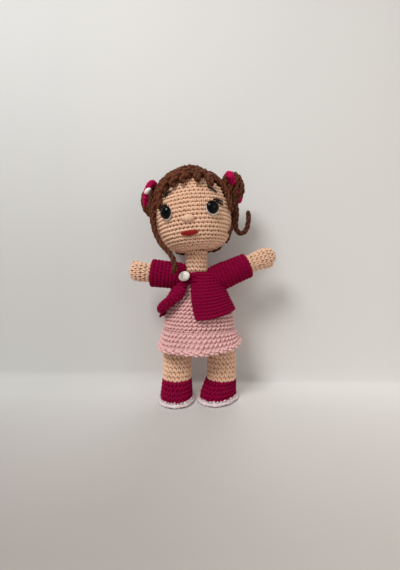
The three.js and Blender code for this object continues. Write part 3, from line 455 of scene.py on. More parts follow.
# A ground round a line, with a radius for each of its points. Its seam side faces the given direction.
def tubeGround(line, radius, columns=24, facing=(0, 1, 0)):
    line = np.array(line)
    radius = np.broadcast_to(radius, len(line))
    side = np.array(facing, float)
    turns = turnsOf(columns)[:, None]
    points = np.zeros((len(line), columns, 3))
    for i, ahead in enumerate(unit(np.gradient(line, axis=0))):
        side = side - ahead * (side @ ahead)
        side /= np.linalg.norm(side)
        ring = np.cos(turns) * side + np.sin(turns) * np.cross(ahead, side)
        points[i] = line[i] + ring * radius[i]
    return Ground(points)


def roundedRadii(line, radius, reach, least):  # a cord's radii, less towards both ends
    shares = np.linspace(0, 1, len(line))
    ends = np.minimum(shares, 1 - shares) * lengthOf(line)
    return radius * mm * np.sqrt(np.clip(ends / (reach * mm), least, 1))


# Rope-like cords of hair: lobes laid slantwise round a core
def ropeCord(work, line, radius, scale=1.0, shown=None, core=0.72):
    ground = tubeGround(line, roundedRadii(line, radius, radius, 0.05))
    lining(work, ground, lift=-(1 - core) * radius, rows=max(6, len(line) // 2), columns=10)
    crochet(work, ground, "rope", lift=-1.15 * scale, step=0.42, keep=shown, scale=scale, count=3)


# A worked edge along a line, of lobes round a core. under and depth are its lining's; depth sets how much
# painted shade the lining takes.
def edging(work, line, radius, facing=(0, 0, 1), kind="rope", columns=8, under=-0.4, depth=-0.1, **worked):
    ground = tubeGround(line, radius * mm, facing=facing)
    lining(work, ground, lift=under, rows=len(line) - 1, columns=columns, depth=depth)
    crochet(work, ground, kind, **worked)


def thread(work, places, radius, ends=0.3):  # a single thread, laid on the face
    line = toLine(places, 16)
    shares = np.clip(np.linspace(0, 1, len(line)), 0.02, 0.98)
    radii = radius * mm * np.clip(np.sqrt(np.sin(np.pi * shares) / ends), 0.2, 1)
    ground = tubeGround(line, radii, columns=10)
    closedTube(work, ground.points, line[[0, -1]], random.uniform(0, 1), 0.85, ground.length() / mm / 2)


print("stitches and grounds are ready")


# Materials
def colour(red, green, blue):  # a picture's red, green and blue from 0 to 255, as the shader wants them
    shares = [value / 255 for value in (red, green, blue)]
    return [s / 12.92 if s <= 0.04045 else ((s + 0.055) / 1.055) ** 2.4 for s in shares] + [1]


def feed(tree, socket, value):  # a colour, a number or another node's output
    if isinstance(value, tuple):
        socket.default_value = colour(*value)
    elif isinstance(value, (int, float)):
        socket.default_value = value
    else:
        tree.links.new(value, socket)


def newGroup(name, inputs, outputs):
    group = bpy.data.node_groups.new(name, "ShaderNodeTree")
    for way, sockets in (("INPUT", inputs), ("OUTPUT", outputs)):
        for title, kind in sockets.items():
            group.interface.new_socket(name=title, in_out=way, socket_type="NodeSocket" + kind)
    return group, group.nodes.new("NodeGroupInput").outputs, group.nodes.new("NodeGroupOutput").inputs


def groupNode(tree, group, values):
    node = tree.nodes.new("ShaderNodeGroup")
    node.node_tree = group
    for title, value in values.items():
        feed(tree, node.inputs[title], value)
    return node.outputs


def mathNode(tree, operation, *values):
    node = tree.nodes.new("ShaderNodeMath")
    node.operation = operation
    for socket, value in zip(node.inputs, values):
        feed(tree, socket, value)
    return node.outputs[0]


def noiseNode(tree, spot, scale, detail=2):
    node = tree.nodes.new("ShaderNodeTexNoise")
    for title, value in (("Vector", spot), ("Scale", scale), ("Detail", detail)):
        feed(tree, node.inputs[title], value)
    return node.outputs["Fac"]


def mixNode(tree, share, first, second):
    node = tree.nodes.new("ShaderNodeMix")
    node.data_type = "RGBA"
    node.clamp_factor = True
    for title, value in (("Factor", share), ("A", first), ("B", second)):
        feed(tree, node.inputs[title], value)
    return node.outputs["Result"]


def bumpNode(tree, shader, height, distance, strength=1.0):
    node = tree.nodes.new("ShaderNodeBump")
    for title, value in (("Strength", strength), ("Distance", distance * mm), ("Height", height)):
        feed(tree, node.inputs[title], value)
    tree.links.new(node.outputs["Normal"], shader.inputs["Normal"])


def mixShaders(tree, share, first, second, output):
    mix = tree.nodes.new("ShaderNodeMixShader")
    for socket, value in zip(mix.inputs, (share, first, second)):
        tree.links.new(value, socket)
    tree.links.new(mix.outputs[0], tree.nodes[output].inputs["Surface"])


# Plies twisted round a strand, and the short fibres on them
def makePlyGroup():
    inputs = {"Along": "Vector", "Place": "Vector", "Plies": "Float", "Twist": "Float", "Fuzz": "Float"}
    group, given, out = newGroup("yarnPlies", inputs, {"Height": "Float", "Groove": "Float"})
    parts = group.nodes.new("ShaderNodeSeparateXYZ")
    group.links.new(given["Along"], parts.inputs[0])
    twist = mathNode(group, "MULTIPLY", parts.outputs["X"], given["Twist"])
    around = mathNode(group, "MULTIPLY", parts.outputs["Y"], given["Plies"])
    angle = mathNode(group, "MULTIPLY", mathNode(group, "ADD", twist, around), math.pi)
    wave = mathNode(group, "ABSOLUTE", mathNode(group, "COSINE", angle))
    fuzz = mathNode(group, "MULTIPLY", noiseNode(group, given["Place"], 5200), given["Fuzz"])
    group.links.new(mathNode(group, "ADD", wave, fuzz), out["Height"])
    group.links.new(mathNode(group, "SUBTRACT", 1.0, wave), out["Groove"])
    return group


# The yarn's colour: each stitch a little different in tone, with painted shade in the grooves and between
# stitches
def makeToneAndShadeGroup():
    inputs = {
        "Colour": "Color", "Shade": "Color", "Tone": "Float", "Depth": "Float", "Groove": "Float",
        "Place": "Vector", "Spread": "Float",
    }
    group, given, out = newGroup("yarnToneAndPaintedShade", inputs, {"Colour": "Color"})
    patches = noiseNode(group, given["Place"], 60)
    spread = mathNode(group, "MULTIPLY", mathNode(group, "SUBTRACT", given["Tone"], 0.5), given["Spread"])
    patch = mathNode(group, "MULTIPLY", mathNode(group, "SUBTRACT", patches, 0.5), 0.5)
    # painted shade: the lower a corner lies in its stitch or under the stitches, the nearer it comes to the
    # shade colour
    deep = mathNode(group, "MULTIPLY", mathNode(group, "SUBTRACT", 0.7, given["Depth"]), 0.9)
    # painted shade in the grooves between the plies
    groove = mathNode(group, "MULTIPLY", mathNode(group, "POWER", given["Groove"], 3.0), 0.3)
    darker = mathNode(group, "ADD", deep, groove)
    share = mathNode(group, "ADD", mathNode(group, "ADD", spread, patch), darker)
    group.links.new(mixNode(group, share, given["Colour"], given["Shade"]), out["Colour"])
    return group


# Fine grain and small changes of tone, for hard plastics, felt and filling
def makeGrainGroup():
    inputs = {
        "Place": "Vector", "Colour": "Color", "Other": "Color",
        "Scale": "Float", "Rough": "Float", "Change": "Float",
    }
    outputs = {"Colour": "Color", "Roughness": "Float", "Height": "Float"}
    group, given, out = newGroup("surfaceGrain", inputs, outputs)
    grain = noiseNode(group, given["Place"], given["Scale"], 4)
    change = mathNode(group, "MULTIPLY", mathNode(group, "SUBTRACT", grain, 0.5), given["Change"])
    group.links.new(mixNode(group, grain, given["Colour"], given["Other"]), out["Colour"])
    group.links.new(mathNode(group, "ADD", given["Rough"], change), out["Roughness"])
    group.links.new(grain, out["Height"])
    return group


plyGroup, toneAndShadeGroup, grainGroup = makePlyGroup(), makeToneAndShadeGroup(), makeGrainGroup()


def newMaterial(name):
    material = bpy.data.materials.new(name)
    material.use_nodes = True
    tree = material.node_tree
    spot = tree.nodes.new("ShaderNodeTexCoord").outputs["Object"]
    return material, tree, tree.nodes["Principled BSDF"], spot


# Each yarn's colour, the colour of its painted shade (also the dark end of its tone changes), its finish,
# and how it is spun: the plies, their twist and fuzz, how much its stitches differ in tone, and the relief
yarnKeys = ("colour", "shade", "rough", "shine", "sheen", "plies", "twist", "fuzz", "spread", "bump")
yarns = {
    "skin_yarn": ((248, 205, 173), (122, 70, 50), 0.5, 0.35, 0, 4, 0.55, 0.3, 0.25, 0.22),
    "pink_yarn": ((243, 192, 189), (156, 92, 96), 0.42, 0.4, 0, 4, 0.55, 0.25, 0.25, 0.22),
    "magenta_yarn": ((148, 5, 60), (66, 0, 22), 0.85, 0.08, 0.12, 3, 0.5, 0.9, 0.3, 0.28),
    # a brighter copy of magenta_yarn for the hair ties: painted light, as if they were lit more than the
    # jacket
    "tie_yarn": ((206, 20, 92), (110, 0, 42), 0.8, 0.1, 0.12, 3, 0.5, 0.9, 0.3, 0.28),
    "hair_yarn": ((106, 57, 34), (42, 18, 10), 0.7, 0.15, 0.06, 4, 0.5, 0.7, 0.35, 0.28),
    "white_yarn": ((244, 228, 228), (196, 160, 166), 0.7, 0.3, 0, 4, 0.5, 0.5, 0.2, 0.25),
    "red_yarn": ((158, 6, 8), (96, 2, 4), 0.45, 0.35, 0, 3, 0.9, 0.2, 0.3, 0.15),
    "black_thread": ((24, 18, 18), (8, 6, 8), 0.5, 0.3, 0, 2, 1.2, 0.3, 0.2, 0.15),
}


def yarnMaterial(name):
    settings = dict(zip(yarnKeys, yarns[name]))
    material, tree, shader, spot = newMaterial(name)
    along = tree.nodes.new("ShaderNodeUVMap")
    along.uv_map = "yarn"
    marks = {}
    for title in ("tone", "depth"):
        attribute = tree.nodes.new("ShaderNodeAttribute")
        attribute.attribute_name = title
        marks[title] = attribute.outputs["Fac"]
    plies = groupNode(tree, plyGroup, {
        "Along": along.outputs["UV"], "Place": spot,
        "Plies": settings["plies"], "Twist": settings["twist"], "Fuzz": settings["fuzz"],
    })
    tone = groupNode(tree, toneAndShadeGroup, {
        "Colour": settings["colour"], "Shade": settings["shade"], "Spread": settings["spread"],
        "Tone": marks["tone"], "Depth": marks["depth"], "Groove": plies["Groove"], "Place": spot,
    })
    tree.links.new(tone["Colour"], shader.inputs["Base Color"])
    bumpNode(tree, shader, plies["Height"], settings["bump"], 0.7)
    shader.inputs["Roughness"].default_value = settings["rough"]
    shader.inputs["Specular IOR Level"].default_value = settings["shine"]
    shader.inputs["Sheen Weight"].default_value = settings["sheen"]
    shader.inputs["Sheen Roughness"].default_value = 0.45
    shader.inputs["Sheen Tint"].default_value = colour(*settings["colour"])
    return material


finishKeys = ("colour", "other", "scale", "rough", "change", "bump", "coat", "shine")
finishes = {
    "eye_plastic": ((2, 2, 3), (8, 8, 10), 300, 0.1, 0.06, 0.002, 0, 0.16),
    "washer_plastic": ((48, 47, 46), (38, 37, 36), 900, 0.4, 0.2, 0.03, 0, 0.5),
    "white_felt": ((250, 246, 242), (222, 214, 208), 3200, 0.95, 0.1, 0.12, 0, 0.5),
    "pearl": ((255, 252, 246), (250, 236, 222), 160, 0.2, 0.12, 0.006, 0.8, 0.5),
    "polyester_filling": ((246, 244, 240), (224, 222, 218), 700, 0.95, 0.1, 0.3, 0, 0.5),
}


def plainMaterial(name):
    settings = dict(zip(finishKeys, finishes[name]))
    material, tree, shader, spot = newMaterial(name)
    values = {title: settings[title.lower()] for title in ("Colour", "Other", "Scale", "Rough", "Change")}
    grain = groupNode(tree, grainGroup, {"Place": spot, **values})
    tree.links.new(grain["Colour"], shader.inputs["Base Color"])
    tree.links.new(grain["Roughness"], shader.inputs["Roughness"])
    bumpNode(tree, shader, grain["Height"], settings["bump"])
    shader.inputs["Coat Weight"].default_value = settings["coat"]
    shader.inputs["Coat Roughness"].default_value = 0.05
    shader.inputs["Specular IOR Level"].default_value = settings["shine"]
    return material


yarn = {name: yarnMaterial(name) for name in yarns}
plain = {name: plainMaterial(name) for name in finishes}
print("materials are ready")

# Hair strands that hang free, as long as their routes. Places are in the doll's own frame, in millimetres.
cordSettings = {"radius": 2.8, "steps": 64, "core": 2.35, "rounding": 2.5}
freeStrands = {
    "long_strand": [
        (-46, -16, 207.1), (-46.8, -15, 200.6), (-47.2, -14, 194.1), (-47.1, -13, 187.6),
        (-46.4, -13, 180.7), (-45, -13.5, 173.7), (-42.8, -15, 167.1), (-40.2, -17, 160.9),
        (-36.9, -20, 155.1), (-32.9, -23.5, 150.3), (-28.8, -27, 146.1), (-25.3, -30, 141.6),
        (-23.1, -32.3, 136.8), (-22.1, -33.3, 132.2), (-22.6, -33.5, 128.1), (-23.7, -33, 125),
    ],
    "curled_strand": [
        (34.2, -19, 198.2), (35.1, -17.3, 193.6), (36, -15, 189), (36.6, -12.5, 184.8), (36.6, -10, 180.5),
        (36.5, -8, 176), (37.1, -6, 171.7), (39.4, -3.5, 168.9), (42.7, -1.5, 167.9), (46.6, 0, 169.7),
        (49.3, 1, 174), (50.6, 1.5, 179.8), (51.1, 1.5, 185.5), (50.3, 1, 189.7), (49.6, 0.5, 191.8),
    ],
}
for name, route in freeStrands.items():
    line = toLine([inDoll(*places) for places in route], cordSettings["steps"])
    core = Work()
    ground = tubeGround(line, roundedRadii(line, cordSettings["core"], cordSettings["rounding"], 0.06))
    lining(core, ground, lift=0, rows=cordSettings["steps"], columns=12)
    strand = core.make(name + "_core", "hair_yarn", "head", [name])
    lobes = Work()
    ropeCord(lobes, line, cordSettings["radius"], core=0.7)
    cover = lobes.make(name + "_yarn", "hair_yarn", "head")
    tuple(line[0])
    float(lengthOf(line))
print("free strands are ready")

# Head
headSettings = {"low": 0.2, "high": 83.3, "steps": 70, "sides": 24, "chin": (0.55, 0.8), "fill": 0.95}
capSettings = {"nearest": 36, "reach": 300, "margin": 0.05, "foreheadMargin": 0.14, "forehead": 0.25}
headTree, capTree = treeOf("head_cover"), treeOf("wig_cap")
heights = np.linspace(headSettings["low"], headSettings["high"], headSettings["steps"]) * mm
headGround = roundGround(headTree, headFrame, heights, turnsOf(headSettings["sides"]))
headLow = headGround.points[0]
chin = [headLow.mean(axis=0) * (1 - share) + headLow * share for share in headSettings["chin"]]
headGround = Ground(np.concatenate([chin, headGround.points])).evened()
headMiddle = headFrame @ Vector((0, 0, 42 * mm))  # clear of the solids' own rings of corners


def towards(azimuth, elevation):  # azimuth from the face to the doll's left, both in degrees
    a, e = math.radians(azimuth), math.radians(elevation)
    return headTurn @ Vector((math.sin(a) * math.cos(e), -math.cos(a) * math.cos(e), math.sin(e)))


def fromOutside(tree, direction):
    reach = capSettings["reach"] * mm
    return tree.ray_cast(headMiddle + direction * reach, -direction, reach)[:2]


def onHead(direction, lift=0.0):
    spot, normal = fromOutside(headTree, direction)
    return spot + normal * lift * mm


def onCap(direction):  # the cap's outside in a direction from the head's middle, or None on the face
    spot, normal = fromOutside(capTree, direction)
    outside = spot is not None and (spot - headMiddle).length >= capSettings["nearest"] * mm
    return (spot, normal) if outside else None


def inHair(direction):  # on the cap, and not right at its edge, least of all over the forehead
    s = capSettings
    high = ((headUnturn @ direction).z - s["forehead"]) / s["forehead"]
    margin = s["margin"] + s["foreheadMargin"] * min(1, max(0, high))
    nearer = (direction + towards(0, -10) * margin).normalized()
    return onCap(direction) if onCap(nearer) else None


def bareFace(places):  # where no wig cap covers the skin
    return np.array([inHair((Vector(spot) - headMiddle).normalized()) is None for spot in places], bool)


fill, cloth = headSettings["fill"], (-1.5, 40, 48)
paddedPiece("head_skin", "skin_yarn", "head", "head_cover", fill, headGround, "face", cloth, keep=bareFace)

# Neck, which runs a little way into the head
neckSettings = {"x": -2.9, "low": 116, "high": 148.4, "top": 149.9, "sides": 14, "fill": 0.8}
s = neckSettings
heights = np.linspace(s["low"], s["high"], 30) * mm
neckFrame = Matrix.Translation(inDoll(s["x"], 0, 0))
neckGround = roundGround(treeOf("neck_cover"), neckFrame, heights, turnsOf(s["sides"]), columns=48)
neckTop = neckGround.points[-1:] + np.array([0, 0, s["top"] - s["high"]]) * mm
neckGround = Ground(np.concatenate([neckGround.points, neckTop])).evened()
cloth = (-1.5, 16, 24)
paddedPiece("neck_skin", "skin_yarn", "neck", "neck_cover", s["fill"], neckGround, "vee", cloth, scale=0.95)

# Dress bodice, which is the torso's own cover. The probes leave out its sides, where the arms join.
torsoSettings = {"low": 63.8, "high": 123.6, "fill": 0.9, "armhole": 13}
heights = np.linspace(torsoSettings["low"], torsoSettings["high"], 50) * mm
angles = [math.radians(angle) for angle in range(0, 360, 18) if 30 < angle % 180 < 150]
torsoGround = roundGround(treeOf("torso_cover"), Matrix.Translation(dollMiddle), heights, angles)


def clearOfShoulders(places):  # the arms' ends turn in the cloth there, under the sleeves
    gaps = [np.linalg.norm(places - np.array(matrix.translation), axis=1) for matrix in armFrames.values()]
    return np.minimum(*gaps) > torsoSettings["armhole"] * mm


paddedPiece(
    "dress_bodice", "pink_yarn", "torso", "torso_cover", torsoSettings["fill"], torsoGround, "slanted",
    (-1.5, 30, 40), first=0.02, last=0.99, keep=clearOfShoulders,
)
print("head, neck and bodice are ready")

# Skirt: flared, with gentle waves at its hem, higher at the doll's left
skirtSettings = {
    "top": 69.7, "hem": 53, "lift": 5.5, "topWide": 37.4, "topDeep": 28.6, "hemWide": 42.6, "hemDeep": 36,
    "wave": 0.9, "waves": 7, "curve": 1.3, "under": 1.1, "thick": 1.2,
}


def skirtPlace(angle, down, inset=0.0, drop=0.0):
    s = skirtSettings
    flare = down ** s["curve"]
    wave = s["wave"] * down * math.sin(s["waves"] * angle)
    wide = s["topWide"] + (s["hemWide"] - s["topWide"]) * flare + wave - inset
    deep = s["topDeep"] + (s["hemDeep"] - s["topDeep"]) * flare + wave - inset
    lift = s["lift"] * max(0, math.cos(angle)) ** 2
    z = s["top"] - (s["top"] - s["hem"] - lift) * down - drop
    return inDoll(wide * math.cos(angle), deep * math.sin(angle), z)


def skirtRing(*place):
    return [skirtPlace(angle, *place) for angle in np.linspace(0, math.tau, 97)]


skirtGround = Ground(np.array([[skirtPlace(a, 1 - up) for a in turnsOf(96)] for up in np.linspace(0, 1, 20)]))
form = bmesh.new()
joinRings(form, [
    [form.verts.new(skirtPlace(a, 1 - up, skirtSettings["under"])) for a in turnsOf(48)]
    for up in np.linspace(0, 1, 7)
])
# no depth marks, so the yarn material gives this cloth painted shade, seen between the stitches
skirtCloth = formPiece(form, "skirt_cloth", yarn["pink_yarn"])
thicken(skirtCloth, skirtSettings["thick"])
place(skirtCloth, "torso", "pink_yarn", ["skirt"])
skirtWork = Work()
crochet(skirtWork, skirtGround, "slanted", lift=-0.2, step=0.3, last=0.98)
edging(skirtWork, skirtRing(0.02, 0.9), 1.3, lift=-0.75, step=0.3, count=3, scale=0.6)
skirtStitches = skirtWork.make("skirt_stitches", "pink_yarn", "torso")

# The hem's rope edging
edgeSettings = {"radius": 2.3, "inset": 1.0, "drop": 0.4, "lobes": 56}
line = skirtRing(1, edgeSettings["inset"], edgeSettings["drop"])
edgeWork = Work()
edging(
    edgeWork, line, edgeSettings["radius"], kind="edge", columns=10, under=-1.5,
    lift=-1.05, step=0.5, rows=edgeSettings["lobes"], count=2,
)
skirtEdge = edgeWork.make("skirt_rope_edge", "pink_yarn", "torso", ["skirt_edging"])
print("skirt is ready")

# Legs, which run on into the boots
legSettings = {"offset": 22.7, "low": 21.6, "high": 66, "sides": 14, "inBoot": 2.6, "fill": 0.85}
legFrames = {
    side: Matrix.Translation(inDoll(sign * legSettings["offset"], 0, 0)) for side, sign in sides.items()
}
for side, matrix in legFrames.items():
    tree, angles = treeOf(side + "_leg_cover"), turnsOf(legSettings["sides"])
    heights = np.linspace(legSettings["low"], legSettings["high"], 30) * mm
    ground = roundGround(tree, matrix, heights, angles, columns=48)
    foot = ground.points[:1] - np.array([0, 0, legSettings["inBoot"]]) * mm
    ground = Ground(np.concatenate([foot, ground.points])).evened()
    name, fill, cloth = side + "_leg", legSettings["fill"], (-1.1, 20, 28)
    paddedPiece(name + "_skin", "skin_yarn", name, name + "_cover", fill, ground, "vee", cloth)

# Arms, each with its thumb: rows round the sleeve end, wrist and hand
armSettings = {
    "right": {
        "tip": 46.8, "low": 10,
        "thumb": {"along": 39.5, "aside": 6.8, "long": 6.4, "radius": 4.3, "lean": 20},
    },
    "left": {
        "tip": 57.3, "low": 14,
        "thumb": {"along": 43, "aside": 7.2, "long": 9.4, "radius": 4.2, "lean": 14},
    },
}
for side, s in armSettings.items():
    matrix, tree = armFrames[side], treeOf(side + "_arm_cover")
    heights = np.linspace(s["low"], s["tip"], 36) * mm
    rings = []
    for height in heights:
        wide = abs(probe(tree, matrix, height, math.pi).x)
        rings.append((wide, abs(probe(tree, matrix, height, math.pi / 2).y)))
    rings = np.array(rings)
    smooth(rings)
    ground = ovalGround(matrix, heights, *rings.T)
    work = Work()
    lining(work, ground, columns=28)
    crochet(work, ground, "vee", scale=0.94)
    thumb = s["thumb"]
    middle = matrix @ Vector((thumb["aside"] * mm, 0, thumb["along"] * mm))
    thumbFrame = Matrix.Translation(middle) @ matrix.to_3x3().to_4x4() @ turned(thumb["lean"], "Y")
    shares = np.linspace(-0.97, 0.97, 20)
    radii = np.sqrt(1 - shares**2) * thumb["radius"] * mm
    ground = ovalGround(thumbFrame, shares * thumb["long"] * mm, radii, radii, columns=32)
    lining(work, ground, rows=10, columns=14)
    crochet(work, ground, "vee", scale=0.85)
    work.make(side + "_arm_skin", "skin_yarn", side + "_arm", [side + "_arm_cover"])
print("legs and arms are ready")

# Boots, each with its white edge round the sole and a row of teeth on it
bootSettings = {"low": 3, "high": 20.9, "turn": {"right": 0, "left": -40}, "shift": -5.4, "fill": 0.7}
trimSettings = {
    "wide": 16.4, "deep": 21.9, "swell": 0.035, "z": 2.5, "radius": 2.05, "lobes": 30,
    "teeth": 34, "toothLift": 2.2, "toothRadius": 0.9,
}
for side in sides:
    matrix = legFrames[side] @ turned(bootSettings["turn"][side], "Z")
    heights = np.linspace(bootSettings["low"], bootSettings["high"], 16) * mm
    ground = freeGround(treeOf(side + "_boot_upper"), matrix, heights)
    name, fill, cloth = side + "_boot", bootSettings["fill"], (-1.2, 12, 32)
    paddedPiece(
        name + "_yarn", "magenta_yarn", side + "_leg", name + "_upper", fill, ground, "fine", cloth, lift=-0.5
    )
    s = trimSettings
    line = []
    for a in np.linspace(0, math.tau, 97):
        swell = 1 + s["swell"] * math.sin(2 * a) ** 2
        x, y = s["wide"] * math.cos(a) * swell, s["deep"] * math.sin(a) * swell + bootSettings["shift"]
        line.append(matrix @ (Vector((x, y, s["z"])) * mm))
    trim = Work()
    edging(
        trim, line, s["radius"], columns=10, under=-0.6, depth=0.4,
        lift=-1.0, step=0.3, rows=s["lobes"], count=3, scale=0.78,
    )
    teeth = [spot + Vector((0, 0, s["toothLift"])) * mm for spot in line]
    teethGround = tubeGround(teeth, s["toothRadius"] * mm, facing=(0, 0, 1))
    crochet(trim, teethGround, "tooth", lift=0.1, rows=s["teeth"], count=1)
    trim.make(name + "_edge", "white_yarn", side + "_leg", [name + "_trim"])

# Jacket: one cloth round the back and both fronts. Shares up its height give where each front ends.
jacketSettings = {
    "bottom": 83.5, "top": 127.4, "thick": 2.5, "cloth": 1.4, "under": 0.8, "reach": 45, "armholes": 100,
    "inside": 0.003, "hem": 0.15, "sleeve": 12.6, "sleeveStart": -5, "borderIn": 1.1,
    "leftEdge": [(0, -95), (0.12, -99), (0.6, -109), (0.92, -114), (1, -116)],
    "rightEdge": [(0, 190), (0.12, 200), (0.4, 224), (0.6, 238), (0.7, 246), (0.92, 243), (1, 241)],
    "roll": [(0.66, 0.45), (0.5, 0.8), (0.34, 1), (0.22, 1), (0.13, 0.9)],
    "rollSizes": [(0, 0.6), (0.25, 1), (0.5, 1.2), (0.8, 1.15), (0.93, 0.95), (1, 0.35)],
    "rollRadius": 4.6, "rollOut": 0.75, "rollThick": 4.3, "lift": 8,
    "flare": {"angle": 207, "spread": 30, "share": 0.36, "reach": 0.3, "out": 4.5},
}
jacketTree = treeOf("jacket_body")


def jacketFlare(angle, share):  # how far the doll's right front stands out, folded open
    s = jacketSettings["flare"]
    aside = (math.degrees(angle) - s["angle"]) / s["spread"]
    return s["out"] * math.exp(-(aside**2) - ((share - s["share"]) / s["reach"]) ** 2) * mm


def edgeAt(edge, share):
    return math.radians(np.interp(share, *zip(*jacketSettings[edge])))


def jacketHit(z, angle):  # the jacket's inside, from the doll's middle line, with the way outwards
    start = dollMiddle + Vector((0, 0, z * mm))
    outward = Vector((math.cos(angle), math.sin(angle), 0))
    return jacketTree.ray_cast(start, outward, jacketSettings["reach"] * mm)[0], outward


def jacketGrid(rows=44, columns=120):  # with which of its places lie on the solid
    s = jacketSettings
    points = np.full((rows + 1, columns + 1, 3), np.nan)
    for i in range(rows + 1):
        share = i / rows
        low, high = edgeAt("leftEdge", share), edgeAt("rightEdge", share)
        for j in range(columns + 1):
            angle = low + (high - low) * (s["inside"] + (1 - 2 * s["inside"]) * j / columns)
            lift = s["lift"] * max(0, math.cos(angle)) ** 2 * (1 - share)
            z = s["bottom"] + lift + s["hem"] + (s["top"] - s["bottom"] - 2 * s["hem"]) * share
            hit, outward = jacketHit(z, angle)
            if hit is not None:
                points[i, j] = hit + outward * (s["thick"] * mm + jacketFlare(angle, share))
    whole = np.isfinite(points[..., 0])
    for row, known in zip(points, whole):  # gaps are closed by straight lines along the rows
        for axis in range(3):
            row[~known, axis] = np.interp(np.flatnonzero(~known), np.flatnonzero(known), row[known, axis])
    return points, whole


jacketPoints, jacketWhole = jacketGrid()
for _ in range(3):
    smooth(jacketPoints.swapaxes(0, 1))
jacketGround = Ground(jacketPoints, closed=False)
rollCentres = []
for share, size in jacketSettings["roll"]:
    s = jacketSettings
    angle = edgeAt("rightEdge", share)
    hit, outward = jacketHit(s["bottom"] + (s["top"] - s["bottom"]) * share, angle - 0.02)
    out = s["thick"] / 2 + s["rollRadius"] * size * s["rollOut"]
    rollCentres.append(hit + outward * (out * mm + jacketFlare(angle, share)))


def jacketShown(places):  # not where a sleeve hides the cloth
    shown = np.ones(len(places), bool)
    for matrix in armFrames.values():
        local = np.array([matrix.inverted() @ Vector(spot) for spot in places]) / mm
        radii = np.hypot(local[:, 0], local[:, 1])
        shown &= (local[:, 2] < jacketSettings["sleeveStart"]) | (radii > jacketSettings["sleeve"])
    return shown


form = bmesh.new()
cells = {}
step = 2
for i in range(0, jacketPoints.shape[0], step):
    for j in range(0, jacketPoints.shape[1], step):
        spot = jacketPoints[i, j] - jacketGround.normals[i, j] * jacketSettings["under"] * mm
        if jacketWhole[i, j] or spot[2] < jacketSettings["armholes"] * mm:
            cells[i, j] = form.verts.new(spot)
for i, j in list(cells):
    corners = [cells.get(key) for key in ((i, j), (i, j + step), (i + step, j + step), (i + step, j))]
    if all(corners):
        form.faces.new(corners)
dropLoose(form)
# no depth marks, so the yarn material gives this cloth painted shade, seen between the stitches
jacketCloth = formPiece(form, "jacket_cloth", yarn["magenta_yarn"])
thicken(jacketCloth, jacketSettings["cloth"])
place(jacketCloth, "torso", "magenta_yarn", ["jacket_body"])
jacketWork = Work()
crochet(jacketWork, jacketGround, "fine", lift=-0.5, keep=jacketShown)
rollSizes = np.interp(np.linspace(0, 1, 25), *zip(*jacketSettings["rollSizes"]))
rollGround = tubeGround(toLine(rollCentres, 24), rollSizes * jacketSettings["rollThick"] * mm)
lining(jacketWork, rollGround, lift=-0.9, rows=20, columns=16)
crochet(jacketWork, rollGround, "fine", lift=-0.6)
borders = [  # shares up the cloth and along it, and the steps of the edge
    (np.linspace(0, 1, 30), np.zeros(30), 40),
    (np.linspace(0.55, 1, 20), np.ones(20), 40),
    (np.zeros(90), np.linspace(0, 1, 90), 90),
    (np.ones(60), np.linspace(0, 1, 60), 90),
]
for up, around, steps in borders:
    spots, normals = jacketGround.at(around, up)
    line = toLine(spots - normals * jacketSettings["borderIn"] * mm, steps)
    edging(jacketWork, line, 1.3, lift=-0.75, step=0.3, count=3, scale=0.55)
jacketYarn = jacketWork.make("jacket_stitches", "magenta_yarn", "torso")

# Sleeves: crocheted on to the jacket.
# Each row of the outline is a place along the arm and the sleeve's radius there.
sleeveSettings = {
    "right": {
        "outline": [(-12.2, 8.6), (-10.5, 11.6), (-7, 13.3), (0, 14), (8, 13.9), (22.8, 14.4)],
        "cuff": 13.3,
    },
    "left": {
        "outline": [(-15.6, 9), (-13.8, 12), (-9.5, 13.8), (0, 14), (9, 13.4), (26, 12.9)],
        "cuff": 11.8,
    },
}
bendSettings = {"start": 9, "end": 7, "cloth": 1.4, "under": 0.9, "flatRadius": 13.4}
for side, s in sleeveSettings.items():
    matrix = armFrames[side]
    outline = toLine([(along, radius, 0) for along, radius in s["outline"]], 40)
    ground = ovalGround(matrix, outline[:, 0] * mm, outline[:, 1] * mm, outline[:, 1] * mm)
    form = bmesh.new()
    inside = (ground.points - ground.normals * bendSettings["under"] * mm)[::3, ::2]
    joinRings(form, [[form.verts.new(spot) for spot in ring] for ring in inside])
    # no depth marks, so the yarn material gives this cloth painted shade, seen between the stitches
    sleeve = formPiece(form, side + "_sleeve_cloth", yarn["magenta_yarn"])
    thicken(sleeve, bendSettings["cloth"])
    work = Work()
    crochet(work, ground, "fine", lift=-0.5)
    cuff = [
        matrix @ (Vector((s["cuff"] * math.cos(a), s["cuff"] * math.sin(a), s["outline"][-1][0] - 0.3)) * mm)
        for a in np.linspace(0, math.tau, 49)
    ]
    ahead = matrix.to_3x3() @ Vector((0, 0, 1))
    edging(work, cuff, 1.2, facing=ahead, under=-0.3, lift=-0.7, step=0.3, count=3, scale=0.55)
    sleeveYarn = work.piece(side + "_sleeve_stitches", "magenta_yarn")
    shoulder = matrix.translation
    start, end = shoulder - ahead * bendSettings["start"] * mm, shoulder + ahead * bendSettings["end"] * mm
    for piece in (sleeve, sleeveYarn):
        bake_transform(piece)
        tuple(start)
        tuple(end)
    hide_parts(side + "_sleeve")
print("jacket, sleeves and boots are ready")

# Hair on the head: cords fan out from each bun to the parting and the hairline. Every second one starts
# further out. At the back they meet lower than at the parting, and the fringe's own place is left free.
hairSettings = {
    "cords": 40, "radius": 3.3, "scale": 1.15, "sunk": -1.7,
    "tieReach": 17, "between": 42, "step": 5, "last": 178, "parting": 0.03, "nape": -0.06,
    "beadRoom": 5.5,
}
bunPlaces = {"right": (-42, 5, 57), "left": (42, 6, 61.3)}
bunSizes = (13, 14, 17.4)
beadMiddle = sum(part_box("hair_bead"), Vector()) / 2


def clearOfBead(places):
    return np.linalg.norm(places - np.array(beadMiddle), axis=1) > hairSettings["beadRoom"] * mm


